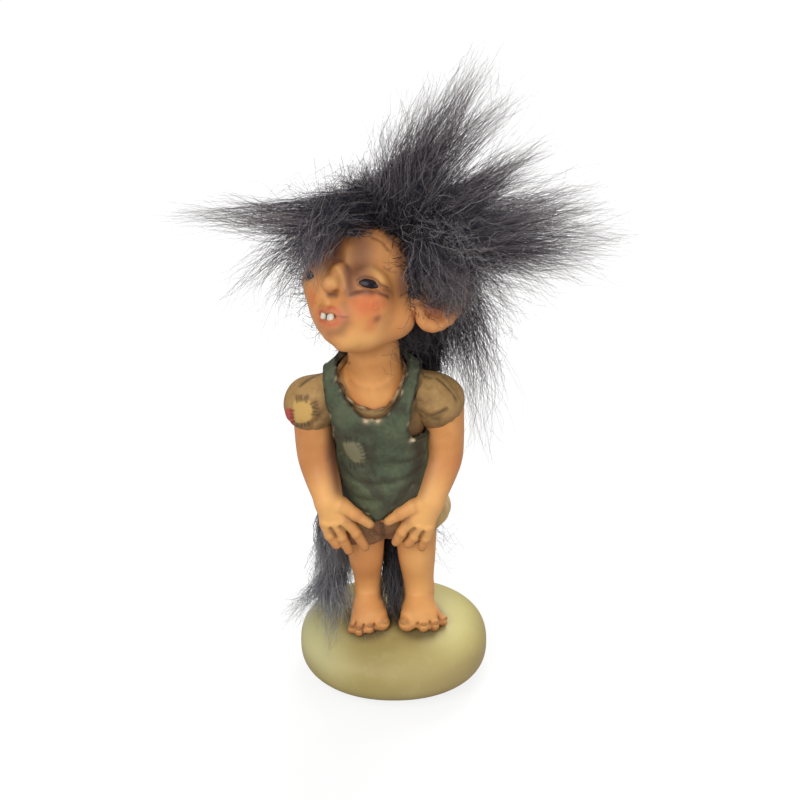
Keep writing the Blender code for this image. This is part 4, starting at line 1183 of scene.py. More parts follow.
# Edges of the clothes as the photo shows them
COLLAR = (
    (336, 330), (338, 368), (340, 381), (348, 397), (358, 404.5), (373, 410), (386, 406), (395, 396),
    (402, 377), (405, 362), (407, 330),
)
NECKLINE = (
    (333, 330), (336, 369), (339, 388), (349, 404), (361, 417), (367, 419.5), (378, 419.5), (387, 415.5),
    (399, 399), (406, 377), (409, 362), (412, 330),
)
HEM = (
    (338, 494), (346, 500), (352, 507), (370, 514.6), (373, 522), (383, 519.7), (392, 511.6), (408, 508.7),
    (418, 499),
)

# Each armhole's edge seen from the front, as (x, z) in millimetres from the top down
RIGHT_ARMHOLE = ((-17.7, 94), (-16.8, 85), (-15.0, 76.5), (-15.6, 74.4), (-22, 73))
LEFT_ARMHOLE = ((6.9, 94), (4.6, 86), (3.6, 80), (4.4, 77.4), (7.5, 76), (12, 75))


def under_line(points, line, back_height):
    """How far each point lies under a line drawn on the photo. The back of the body has a level line."""
    across, down = on_photo(points)
    xs, ys = np.array(line, float).T
    slope = np.interp(across, xs, np.gradient(ys, xs))
    front = (down - np.interp(across, xs, ys)) * PIXEL / np.sqrt(1 + slope**2)
    share = np.clip(points[..., 1] / 6, 0, 1)
    return front * (1 - share) + (back_height - points[..., 2]) * share


def ragged(points, seed, strength=0.3):
    """Small uneven steps along a frayed edge."""
    return strength * (ripple(points, 1.7, seed) + 0.7 * ripple(points, 3.9, seed + 1))


def make_shirt(finish):
    low, high = spot(-23, -15, 68), spot(13, 15, 103)
    clay = Clay(low, high, 0.27)
    dressed_form(clay, 1.3)
    inner = Clay(low, high, 0.27)
    skin_form(inner)
    clay.field = np.maximum(clay.field, -(inner.field - 0.02)).astype(np.float32)
    points = clay.everywhere()
    gap = under_line(points, COLLAR, 98)
    clay.keep(lambda points: -gap + ragged(points, 21, 0.22), 0.25)
    clay.keep(lambda points: np.abs(points[..., 0] - NECKLINE_CENTRE) - 13.5, 0.2)
    clay.keep(lambda points: 70 - points[..., 2], 0.2)
    rim = np.exp(-((gap - 0.3) / 0.32) ** 2)
    clay.sink(-0.14 * rim * (1 + 0.9 * ripple(points, 2.6, 23)))
    clay.paints["cream"] = rim * np.clip(0.2 + 0.8 * ripple(points, 2.2, 24), 0, 0.8)
    # Painted shade in a groove just inside the collar's edge
    groove = np.exp(-((gap - 1.0) / 0.35) ** 2)
    clay.paints["shade_and_dark_lines"] = groove * np.clip(0.6 + 0.5 * ripple(points, 1.4, 25), 0, 1)
    clay.sink(0.18 * groove)
    # Painted shade on the shirt further from the collar's edge, where it lies under the tunic
    clay.paints["grime_and_shade"] = np.clip((gap - 1.0) / 0.8, 0, 0.75)
    place(cast_from(clay, "shirt", CLOTH_PAINTS), finish, "shirt_mustard", "shirt")


def stitches(clay, border, count, length, shade_and_dark_lines=1.0):
    """Short stitches square across a border that is given in pixels, with painted shade in them."""
    border = np.asarray(border, np.float64)
    steps = np.linalg.norm(np.diff(border, axis=0), axis=1)
    reach = np.concatenate([[0], np.cumsum(steps)])
    random = np.random.default_rng(count)
    for i in range(count):
        share = (i + 0.5 + random.uniform(-0.2, 0.2)) / count * reach[-1]
        middle = np.array([np.interp(share, reach, border[:, axis]) for axis in (0, 1)])
        ahead = np.array([np.interp(share + 0.5, reach, border[:, axis]) for axis in (0, 1)]) - middle
        square = np.array((-ahead[1], ahead[0]))
        square = square / max(np.linalg.norm(square), 1e-6)
        square = square * length * random.uniform(0.75, 1.2) / 2
        clay.press(clay.seen([middle - square, middle + square]), 0.22, 0.12, shade_and_dark_lines)


def patch(clay, paint, corners, lift):
    """A patch raised on the cloth, inside corners that are given in pixels."""
    corners = np.asarray(corners, np.float64)
    middle = corners.mean(axis=0)
    places = clay.seen(corners)
    heart = clay.seen([middle])[0]
    way = ray_ways([middle])[0]
    plane = np.stack([CAMERA_RIGHT, -unit(np.cross(way, CAMERA_RIGHT))], 1)
    part, points = clay.near(places.min(0) - 1, places.max(0) + 1, 1.5)
    flat = (points - heart) @ plane
    outline = (places - heart) @ plane
    if np.cross(outline[1] - outline[0], outline[2] - outline[1]) < 0:
        outline = outline[::-1]
    depth = None
    for start, end in zip(outline, np.roll(outline, -1, axis=0)):
        along = unit(end - start)
        side = (flat - start) @ np.array((-along[1], along[0]))
        depth = side if depth is None else soft_least(depth, side, 0.8)
    ahead = ((points - heart) @ way) < 3.5
    mask = np.clip(depth / 0.35 + 0.5, 0, 1) * ahead
    clay.field[part] -= (lift * mask).astype(np.float32)
    grid = clay.grid_of(paint)
    grid[part] = np.maximum(grid[part], mask)


# Folds of the tunic on the photo, each with its width and depth. The last two are ridges.
TUNIC_FOLDS = (
    (((388, 444), (404, 450), (421, 446)), 1.6, 0.25),
    (((380, 468), (402, 466), (421, 456)), 1.5, 0.35),
    (((366, 488), (394, 484), (419, 470)), 1.4, 0.35),
    (((362, 502), (388, 499), (412, 488)), 1.3, 0.3),
    (((344, 472), (362, 484), (384, 486)), 1.4, 0.3),
    (((343, 487), (356, 498), (374, 504)), 1.3, 0.3),
    (((392, 508), (404, 499), (413, 486)), 1.0, 0.35),
    (((346, 430), (360, 436), (372, 434)), 1.3, 0.2),
    (((339, 442), (341, 458), (345, 474)), 1.4, 0.35),
    (((384, 432), (386, 447), (384, 460)), 1.3, 0.2),
    (((392, 457), (408, 458), (421, 451)), 1.2, -0.35),
    (((384, 477), (404, 475), (420, 464)), 1.2, -0.35),
)

# Grime on the tunic low towards +x, painted shade along its sides beside the arms, and the cream knots and
# frayed threads on its edges, as pixels
TUNIC_GRIME_AND_SHADE = (
    ((398, 506), (407, 498), (413, 488)),
    ((392, 512), (400, 507)),
    ((412, 494), (417, 480)),
    ((417, 474), (419, 460), (417, 446)),
    ((340, 462), (343, 480), (347, 492)),
)

CREAM_KNOTS = ((366, 421), (378, 421), (413, 440))
CREAM_FRAYS = (
    ((351, 506), (357, 509)), ((362, 511), (368, 514)), ((371, 518), (372, 521)), ((394, 511), (399, 509)),
    ((403, 509), (408, 508)),
)

# The patches' corners on the photo
PATCH_CORNERS = ((342, 443), (352, 441), (360, 443), (365, 452), (365, 462), (356, 464), (348, 460))
YELLOW_PATCH = ((293, 400), (309, 399), (313, 406), (313, 418), (305, 424), (295, 423), (292, 410))
RED_PATCH = ((285, 408), (292, 408), (294, 420), (292, 427), (286, 422))

# Borders of the tunic's patch with the count, the length and the painted shade of their stitches
TUNIC_STITCHES = (
    (((344, 440), (352, 439), (359, 441)), 5, 6, 1.0),
    (((360, 443), (364, 452), (366, 462)), 5, 7, 1.0),
    (((364, 464), (357, 465), (349, 466)), 4, 6, 1.0),
    (((343, 458), (340, 449)), 2, 5, 0.6),
)


def make_tunic(finish):
    low, high = spot(-24, -17, 46), spot(17, 16, 101)
    clay = Clay(low, high, 0.3)
    dressed_form(clay, 3.0)
    clay.add(ball(trunk_point(0.1, -0.5), (12.2, 11.6, 14)), 3)
    clay.add(ball(trunk_point(0.32, -0.5) + spot(-2.9, 0, 0), (11.2, 9.6, 15)), 3)
    points = clay.everywhere()
    clay.sink(0.2 * ripple(points * spot(0.7, 0.7, 1.2), 0.33, 31))
    for pixels, width, depth in TUNIC_FOLDS:
        clay.press(clay.seen(pixels), width, depth)
    for pixels in TUNIC_GRIME_AND_SHADE:
        clay.stain("grime_and_shade", clay.seen(pixels), 2.2, 0.75)
    random = np.random.default_rng(33)
    for _ in range(9):
        angle = random.uniform(-0.2, pi + 0.2)
        height = random.uniform(56, 80)
        start = spot(NECKLINE_CENTRE * 0.6 + 13 * cos(angle), 12 * sin(angle), height)
        clay.press([start, start + spot(-6 * sin(angle), 5 * cos(angle), random.uniform(-5, 2))], 1.5, 0.6)
    patch(clay, "grey_patch", PATCH_CORNERS, 0.22)
    hollow = Clay(low, high, 0.3)
    dressed_form(hollow, 1.75)
    hollow.add(ball(trunk_point(0.08, -0.5), (11.0, 10.4, 14)), 3)
    clay.field = np.maximum(clay.field, -hollow.field).astype(np.float32)
    frayed = ragged(points, 41)
    gaps = [under_line(points, NECKLINE, 96.5) + frayed * 0.7, -under_line(points, HEM, 53.5) + frayed]
    for side, line in ((-1, RIGHT_ARMHOLE), (1, LEFT_ARMHOLE)):
        xs, zs = np.array(line).T
        edge = np.interp(points[..., 2], zs[::-1], xs[::-1])
        gaps.append(side * (edge - points[..., 0]) * 0.85 + frayed * 0.6)
    for gap in gaps:
        clay.field = (-soft_least(-clay.field, gap, 0.3)).astype(np.float32)
    rim = np.exp(-((np.minimum.reduce(gaps) - 0.25) / 0.4) ** 2)
    clay.sink(-0.15 * rim * (1 + ripple(points, 2.4, 43)))
    clay.paints["cream"] = rim * np.clip(ripple(points, 1.8, 44) * 0.9 - 0.42, 0, 0.6)
    for pixels in CREAM_FRAYS:
        clay.stain("cream", clay.seen(pixels), 0.3, 0.9)
    for pixel in CREAM_KNOTS:
        knot = clay.seen([pixel])[0]
        clay.add(ball(knot + spot(0, -0.2, 0.1), (0.85, 0.6, 0.5)), 0.2)
        clay.stain("cream", [knot + spot(0, -0.4, 0.2)], 0.8, 1.0)
    for border, count, length, shade_and_dark_lines in TUNIC_STITCHES:
        stitches(clay, border, count, length, shade_and_dark_lines)
    place(cast_from(clay, "tunic", CLOTH_PAINTS), finish, "tunic_green", "tunic")


# Borders with the count and the length of their stitches
SLEEVE_STITCHES = (
    (((295, 399), (302, 398), (309, 399)), 5, 6),
    (((313, 401), (316, 408), (315, 417)), 5, 6),
    (((311, 423), (303, 425), (296, 425)), 4, 4),
    (((292, 408), (292, 416), (293, 423)), 4, 4),
)

# Folds with their width, depth and how much painted shade lies in them
SLEEVE_FOLDS = {
    "right": (
        (((322, 373), (311, 378), (300, 386)), 0.4, 0.35, 0.85),
        (((329, 409), (323, 412), (319, 420)), 0.7, 0.4, 0.4),
    ),
    "left": (
        (((430, 417), (438, 414), (447, 409)), 0.4, 0.4, 0.9),
        (((437, 378), (447, 387), (456, 399)), 0.35, 0.3, 0.8),
        (((443, 376), (452, 386), (460, 399)), 0.3, 0.2, 0.45),
        (((417, 377), (423, 375), (430, 377)), 0.5, 0.3, 0.5),
        (((419, 404), (426, 398), (434, 396)), 0.9, 0.35, 0.2),
        (((421, 412), (428, 418), (437, 420)), 0.9, 0.4, 0.5),
    ),
}

# The painted shade of the armpits and the middles of the sleeves, as pixels
ARMPITS = {"left": ((412, 404), (415, 414), (421, 421)), "right": ((334, 405), (332, 414), (328, 420))}
SLEEVE_CENTRES = {"left": (436.5, 401), "right": (312, 403.5)}


def make_sleeve(name, side, finish):
    word = name.split("_")[0]
    top, _, _ = arm_joints(side)
    centre = through(SLEEVE_CENTRES[word], "y", top[1])
    clay = Clay(centre - 11.5, centre + 12, 0.26)
    clay.add(ball(centre, (7.0, 6.9, 7.0)), 0)
    clay.add(rod(shoulder(side) + spot(0, 0, -0.4), centre, SHOULDER_RADIUS + 1.3, 6.0), 2.2)
    clay.sink(0.22 * ripple(clay.everywhere(), 0.5, 50 + side))
    # Gathers run up from the cuff and out from the shoulder seam
    random = np.random.default_rng(60 + side)
    for i in range(16):
        angle = 2 * pi * (i + random.uniform(-0.3, 0.3)) / 16
        foot = centre + spot(5.6 * cos(angle), 5.6 * sin(angle), -5.6)
        head = centre + spot(7.0 * cos(angle + 0.1), 6.8 * sin(angle + 0.1), random.uniform(-3.5, -1.0))
        clay.press([foot, head], 0.6, random.uniform(0.15, 0.4), 0.12)
    for i in range(9):
        angle = 2 * pi * i / 9
        inner = centre + spot(-side * 6.6, 4.6 * cos(angle), 4.6 * sin(angle) + 2)
        outer = centre + spot(-side * random.uniform(1.0, 3.5), 6.4 * cos(angle), 6.4 * sin(angle) + 0.6)
        clay.press([inner, outer], 0.7, random.uniform(0.15, 0.4), 0.15)
    for pixels, width, depth, shade_and_dark_lines in SLEEVE_FOLDS[word]:
        clay.press(clay.seen(pixels), width, depth, shade_and_dark_lines)
    clay.stain("grime_and_shade", clay.seen(ARMPITS[word]), 2.2, 0.55)
    if word == "right":
        patch(clay, "patch", YELLOW_PATCH, 0.2)
        patch(clay, "red_patch", RED_PATCH, 0.15)
        for border, count, length in SLEEVE_STITCHES:
            stitches(clay, border, count, length)
    clay.carve(rod(centre - spot(0, 0, 4), centre - spot(0, 0, 14), 4.6, 4.9), 0.6)
    hem = centre[2] - 5.4
    clay.keep(lambda points: hem + 0.25 * ripple(points, 1.4, 71) - points[..., 2], 0.9)
    place(cast_from(clay, name, CLOTH_PAINTS), finish, "shirt_mustard", name)


def make_stone(finish):
    """The pebble: rings from the flat underside up over the crown, a little uneven."""
    around, rings = 220, 96
    angles = np.arange(around) * 2 * pi / around
    power = 2 / STONE_PLAN_POWER
    points = []
    for i in range(rings):
        height = STONE_HEIGHT * sin(pi / 2 * i / rings)
        rise = height - STONE_BELLY
        reach = STONE_HEIGHT - STONE_BELLY if rise > 0 else STONE_UNDERCUT
        wide = (1 - (abs(rise) / reach) ** STONE_SIDE_POWER) ** (1 / STONE_SIDE_POWER)
        x = STONE_HALF_WIDTH * wide * np.sign(np.cos(angles)) * np.abs(np.cos(angles)) ** power
        y = STONE_HALF_DEPTH * wide * np.sign(np.sin(angles)) * np.abs(np.sin(angles)) ** power
        points.append(np.stack([x, y, np.full(around, height)], 1))
    points = np.concatenate(points)
    uneven = 0.12 * ripple(points, 0.16, 81)[:, None] * np.clip(points[:, 2:] / 3, 0, 1)
    points = points + uneven * unit(points - spot(0, 0, 8))
    points = np.concatenate([points, [spot(0, 0, STONE_HEIGHT)]])
    faces = []
    for i in range(rings - 1):
        for j in range(around):
            after = (j + 1) % around
            faces.append(
                (i * around + j, i * around + after, (i + 1) * around + after, (i + 1) * around + j)
            )
    last = (rings - 1) * around
    crown = len(points) - 1
    faces += [(last + j, last + (j + 1) % around, crown) for j in range(around)]
    faces.append(tuple(range(around))[::-1])
    shade = np.zeros(len(points))
    for side in (1, -1):
        foot = spot(side * STANCE, -3.5)
        near = np.linalg.norm((points[:, :2] - foot) / spot(6.6, 8.4), axis=1)
        shade = np.maximum(shade, np.exp(-np.maximum(near - 0.8, 0) ** 2 / 0.06) * (points[:, 2] > 12))
    obj = new_object("base_stone", points, faces, {"shade": shade})
    obj.data.set_sharp_from_angle(angle=radians(50))
    place(obj, finish, "stone_olive", "base_stone")


# Fur
def strand_object(name, paths, widths, tones):
    """Tapered three-sided hairs along paths (hair, step, xyz). Each hair's tone sets its strip of the map."""
    order = np.argsort(tones)
    paths, widths, tones = paths[order], widths[order], tones[order]
    hairs, steps, _ = paths.shape
    ahead = unit(np.gradient(paths, axis=1) + 1e-9)
    side = unit(np.cross(ahead, spot(0.31, 0.17, 0.93)) + 1e-9)
    other = np.cross(ahead, side)
    along = np.linspace(0, 1, steps)
    thick = widths[:, None] * (1 - 0.82 * along**1.5)
    corners = []
    for i in range(3):
        angle = 2 * pi * i / 3
        corners.append(paths + thick[..., None] * (cos(angle) * side + sin(angle) * other))
    points = np.stack(corners, 2).reshape(-1, 3)
    first = (np.arange(hairs)[:, None, None] * steps + np.arange(steps - 1)[None, :, None]) * 3
    corner = np.arange(3)[None, None, :]
    after = (corner + 1) % 3
    quads = np.stack(
        [first + corner, first + after, first + 3 + after, first + 3 + corner], -1
    ).reshape(-1, 4)
    mesh = bpy.data.meshes.new(name)
    ends = np.arange(hairs)[:, None] * steps * 3
    roots = ends + np.array((2, 1, 0))
    tips = ends + (steps - 1) * 3 + np.array((0, 1, 2))
    mesh.vertices.add(len(points))
    mesh.vertices.foreach_set("co", (points * MM).astype(np.float32).ravel())
    loops = np.concatenate([quads.ravel(), roots.ravel(), tips.ravel()]).astype(np.int32)
    mesh.loops.add(len(loops))
    mesh.loops.foreach_set("vertex_index", loops)
    sizes = np.concatenate([np.full(len(quads), 4), np.full(2 * hairs, 3)])
    mesh.polygons.add(len(sizes))
    mesh.polygons.foreach_set("loop_start", np.concatenate([[0], np.cumsum(sizes)[:-1]]).astype(np.int32))
    mesh.polygons.foreach_set("loop_total", sizes.astype(np.int32))
    mesh.update(calc_edges=True)
    mesh.validate()
    along_all = np.repeat(np.tile(along, hairs), 3)
    add_layer(mesh, "along", along_all)
    add_layer(mesh, "tone", np.repeat(tones, steps * 3))
    index = np.empty(len(mesh.loops), np.int32)
    mesh.loops.foreach_get("vertex_index", index)
    hair = index // (steps * 3)
    strip = (hair + 0.5 + (index % 3 - 1) * 0.3) / hairs
    flat = np.stack([0.02 + 0.96 * strip, 0.02 + 0.96 * along_all[index]], 1)
    mesh.uv_layers.new(name="OFBake").data.foreach_set("uv", flat.astype(np.float32).ravel())
    mesh.shade_smooth()
    return linked(name, mesh)


def waves(random, count, steps, strength, turns, shared=None):
    """A wandering offset along each hair that starts from nothing at its root."""
    along = np.linspace(0, 1, steps)[None, :, None]
    total = np.zeros((count, steps, 3))
    for octave in (1, 2.3):
        way = random.normal(size=(count, 1, 3))
        phase = random.uniform(0, 2 * pi, (count, 1, 3))
        if shared is not None and octave == 1:
            way = 0.45 * way + shared[0]
            phase = phase * 0.12 + shared[1]
        total += way * np.sin(2 * pi * turns * octave * along + phase) / octave
    start = total[:, :1]
    return strength * (total - start) * along**0.8


def tress(random, root, tips, count, root_spread, spread, curl, turns=1.4, bow=(0, 0, 0),
          reach=(0.55, 1.05), width=0.068, steps=9):
    """Hairs from a root patch to several tips. A tip is a point and its share of the hairs."""
    clumps = 14
    places = np.array([tip for tip, _ in tips])
    shares = np.array([share for _, share in tips], float)
    pick = random.choice(len(tips), count, p=shares / shares.sum())
    along = np.linspace(0, 1, steps)[None, :, None]
    offset = random.normal(size=(count, 1, 3))
    offset = offset / np.maximum(np.linalg.norm(offset, axis=-1, keepdims=True), 1) * root_spread
    start = np.asarray(root)[None, None, :] + offset
    length = random.uniform(*reach, (count, 1, 1))
    end = places[pick][:, None, :] + random.normal(size=(count, 1, 3)) * np.asarray(spread)
    bend = np.asarray(bow, float)[None, None, :] * 4 * along * (1 - along)
    line = start + (end - start) * along * length + bend * length
    group = random.integers(0, clumps, count)
    shared = (random.normal(size=(clumps, 1, 3))[group], random.uniform(0, 2 * pi, (clumps, 1, 3))[group])
    paths = line + waves(random, count, steps, curl, turns, shared)
    return paths, width * random.uniform(0.7, 1.2, count)


# Boxes on the photo, as left, right, top and bottom, where the bare face and neck show
BARE_SKIN = ((346, 400, 240, 336), (343, 399, 336, 400))


def off_the_skin(paths):
    """Which hairs stay clear of the bare face and neck."""
    across, down = on_photo(paths)
    clear = np.ones(len(paths), bool)
    for left, right, top, bottom in BARE_SKIN:
        inside = (across > left) & (across < right) & (down > top) & (down < bottom) & (paths[..., 1] < 5)
        clear &= ~inside.any(axis=1)
    return clear


# The crest's longest hairs end here
HIGHEST_HAIR = 184.5


def make_fur(name, finish, parts, seed, node=None):
    """One fur piece from several tresses of hairs."""
    random = np.random.default_rng(seed)
    made = [tress(random, *places, **rest) for places, rest in parts]
    paths = np.concatenate([paths for paths, _ in made])
    widths = np.concatenate([widths for _, widths in made])
    clear = off_the_skin(paths) & (paths[..., 2].max(axis=1) < HIGHEST_HAIR)
    paths, widths = paths[clear], widths[clear]
    obj = strand_object(name, paths, widths, random.uniform(0, 1, len(paths)))
    place(obj, finish, "fur_blue_black", node or name)


def hair_ends(*rows):
    """Where hairs end, from rows of x, y, z and the share of the hairs."""
    return [(spot(*row[:3]), row[3]) for row in rows]


def ends_on_photo(pixels, depth):
    """Equal ends behind these pixels, at this depth from front to back."""
    return [(through(pixel, "y", depth), 1.0) for pixel in pixels]


def lock(*places, **rest):
    """A tress under way: root, ends, count, how wide the root and the ends spread, curl, and the rest."""
    return places, rest


def crest_parts():
    root = spot(1, 4, 135)
    tips = hair_ends(
        (-1.9, 2, 161, 0.5),
        (4, -2, 166, 0.5),
        (9.1, 3, 169.2, 0.9),
        (16, 9, 168, 0.8),
        (22, 5, 174.0, 1.4),
        (26, -1, 168, 0.8),
        (29.8, 6, 163.3, 0.9),
    )
    return [
        lock(root, tips, 640, 7.0, 2.0, 0.8, reach=(0.7, 1.04)),
        lock(root, tips, 420, 7.5, 3.5, 1.5, turns=2.0, reach=(0.15, 0.5), width=0.075),
        lock(spot(4, 4, 134), tips[2:], 130, 6.0, 6.0, 2.4, turns=2.2),
    ]


def upper_parts():
    root = spot(11, 5, 132.5)
    tips = hair_ends((36.7, 6, 151.5, 1.0), (32.5, 4, 147, 1.0), (30, 10, 150, 0.7), (38, 2, 146, 0.5))
    return [
        lock(root, tips, 380, 5.0, 1.8, 0.9, reach=(0.65, 1.05)),
        lock(root, tips, 360, 6.0, 4.0, 1.6, turns=2.0, reach=(0.2, 0.55)),
    ]


def fan_parts():
    root = spot(10, 5, 126)
    tips = hair_ends(
        (49.5, 4, 138.1, 1.2),
        (44, 10, 139, 0.7),
        (57.0, 2, 128, 1.3),
        (54, 8, 133, 0.9),
        (52.0, 2, 121.2, 1.0),
        (45, 7, 116, 0.9),
        (40.8, 4, 112.3, 0.8),
        (31.3, 6, 105.5, 0.8),
    )
    return [
        lock(root, tips, 1100, 7.5, 2.2, 1.0, reach=(0.65, 1.05)),
        lock(root, tips, 700, 7.5, 5.0, 1.8, turns=2.0, reach=(0.2, 0.55)),
        lock(root, tips, 180, 7.0, 5.0, 2.6, turns=2.2),
    ]


def front_parts():
    root = spot(-8, 3, 133.2)
    tips = hair_ends(
        (-51.8, -4, 137.0, 1.3), (-43, -1, 138.2, 0.8), (-42.2, -6, 133.8, 0.8), (-33, -3, 136, 0.4),
        (-37, -4, 128, 0.3),
    )
    return [
        lock(root, tips, 430, 6.0, 1.3, 1.0, bow=(0, 0, -0.5), reach=(0.55, 1.05)),
        lock(root, tips, 250, 7.0, 3.6, 1.8, turns=2.0, reach=(0.15, 0.55), bow=(0, 0, 0.5)),
    ]


# The fringe's root on the photo, and its ends with their shares
FRINGE_ROOT = (334, 214)
FRINGE_ENDS = (
    ((296, 262), 1.0), ((300, 278), 1.3), ((306, 290), 1.3), ((312, 284), 1.0), ((322, 264), 0.4)
)


def fringe_parts():
    root = spot(-14.5, 4, 133)
    tips = hair_ends(
        (-41.2, -6, 115.1, 0.8), (-33.3, -8, 111.3, 0.9), (-26.7, -10, 113.1, 0.6), (-38, -5, 121, 0.6)
    )
    near = [(through(pixel, "y", -14.5), share) for pixel, share in FRINGE_ENDS]
    return [
        lock(root, tips, 190, 4.5, 2.6, 1.2, reach=(0.6, 1.05), bow=(-2, -3, 1)),
        lock(root, tips, 120, 5.0, 4.0, 1.6, reach=(0.2, 0.6), bow=(-2, -3, 1)),
        lock(through(FRINGE_ROOT, "y", 0), near, 190, 5.0, 1.6, 1.2, reach=(0.5, 1.1), bow=(-1, -4, 1.5)),
    ]


def stray_parts():
    """Loose curls over the front of the hair, light in colour as a painted glint."""
    tips = hair_ends(
        (30, -5, 120, 1.2),
        (35, -4, 108, 1.0),
        (28, -5, 134, 1.2),
        (10, -4, 143, 1.0),
        (-5, -2, 141, 0.6),
        (24, -5, 112, 0.8),
    )
    return [
        lock(spot(11, -3, 130), tips, 110, 6.0, 5.0, 2.4, turns=1.8, reach=(0.3, 1.0), width=0.05, steps=14)
    ]


# On the photo, the roots and the ends of the hair over the temple, on the left ear and beside it
TEMPLE_ROOT = (421, 240)
TEMPLE_TIPS = (
    (408, 296), (414, 304), (424, 310), (436, 308), (446, 318), (456, 316), (464, 306), (470, 290)
)
EAR_TOP_ROOT = (446, 252)
EAR_RIM_ROOT = (456, 262)
EAR_RIM_TIPS = ((448, 322), (458, 322), (467, 312), (472, 296))
LOOSE_ROOT = (455, 296)
LOOSE_TIPS = ((505, 330), (500, 380), (492, 420), (484, 450))


def side_parts():
    root = spot(11.0, 8, 115)
    tips = hair_ends(
        (21.7, 8, 61.3, 0.8),
        (25.8, 9, 78, 0.8),
        (17, 7, 70, 0.7),
        (20, 11, 84, 1.0),
        (13, 10, 86, 1.0),
        (27, 7, 92, 0.6),
    )
    over = ends_on_photo(TEMPLE_TIPS, -11.5)
    ear_rim = ends_on_photo(EAR_RIM_TIPS, -9)
    loose = ends_on_photo(LOOSE_TIPS, 6)
    return [
        lock(root, tips, 330, 5.0, 2.0, 1.3, bow=(3.0, 0, 0)),
        lock(root, tips, 200, 5.5, 3.5, 2.0, turns=2.0, bow=(3.0, 0, 0), reach=(0.2, 0.6)),
        lock(through(TEMPLE_ROOT, "y", -4), over, 400, 3.8, 1.8, 1.6, bow=(0, -2, 0), reach=(0.5, 1.05)),
        lock(
            through(EAR_TOP_ROOT, "y", 0), over[3:], 260, 5.0, 2.2, 1.8, bow=(0, -4, 0), reach=(0.5, 1.05)
        ),
        lock(through(EAR_RIM_ROOT, "y", 1), ear_rim, 240, 4.5, 1.8, 1.5, bow=(1, -5, 0), reach=(0.6, 1.0)),
        lock(through(LOOSE_ROOT, "y", 6), loose, 130, 6.0, 3.5, 1.8, bow=(2, 0, 0)),
    ]


# The root and the ends, on the photo, of the dark hair beside the neck
NAPE_ROOT = (420, 335)
NAPE_TIPS = ((408, 394), (418, 392), (428, 388), (438, 378))


def nape_parts():
    root = spot(6, 13.5, 107)
    tips = hair_ends(
        (6.5, 12, 79, 1.0),
        (9.5, 12, 77, 1.2),
        (13, 12, 82, 1.2),
        (15, 12, 88, 1.0),
        (8, 11.5, 86, 1.4),
        (-8, 15, 88, 0.8),
        (-1, 20, 84, 0.9),
        (8, 18, 86, 0.9),
        (-14, 14, 94, 0.6),
    )
    close = ends_on_photo(NAPE_TIPS, 10)
    return [
        lock(root, tips, 2600, 7.0, 1.9, 1.3, reach=(0.35, 1.05), width=0.13),
        lock(through(NAPE_ROOT, "y", 11), close, 900, 4.5, 1.3, 0.9, reach=(0.5, 1.0), width=0.16),
    ]


def back_parts():
    root = spot(-4, 13, 127)
    tips = hair_ends(
        (-3, 33, 136, 1.0),
        (9, 30, 132, 1.0),
        (-14, 30, 131, 1.0),
        (-8, 32, 120, 1.0),
        (6, 31, 119, 1.0),
        (-2, 27, 108, 0.8),
    )
    return [
        lock(root, tips, 600, 8.5, 3.0, 1.4),
        lock(root, tips, 1300, 8.5, 5.0, 2.0, turns=2.0, reach=(0.2, 0.7), width=0.08),
    ]


def leg_gap_parts():
    """The dense fur that hangs behind and between the legs, dark partly as painted shade."""
    tips = hair_ends((-1.2, 1, 18.2, 1.0), (0.6, -5, 17.8, 0.9), (1.4, 2, 18.2, 1.0), (-0.4, -7, 17.8, 0.5))
    wisps = hair_ends((15, 6, 31, 1.0), (17, 6, 36, 0.8), (13.5, 6, 27, 0.8))
    return [
        lock(
            HIPS + spot(-0.7, 8.0, -4), tips, 1700, 2.3, 1.2, 0.8, turns=2.0, reach=(0.45, 1.0), width=0.12
        ),
        lock(HIPS + spot(3, 9.0, -5), wisps, 45, 2.5, 1.8, 1.8, turns=2.0, reach=(0.5, 1.1), width=0.06),
    ]


def hide_joints():
    """The hide strip's root, bend and end."""
    root = HIPS + spot(-3.7, 7.35, 0.45)
    bend = root + spot(-2.0, 6.0, -1.2)
    return root, bend, bend + spot(-5.0, -1.6, -13.2)


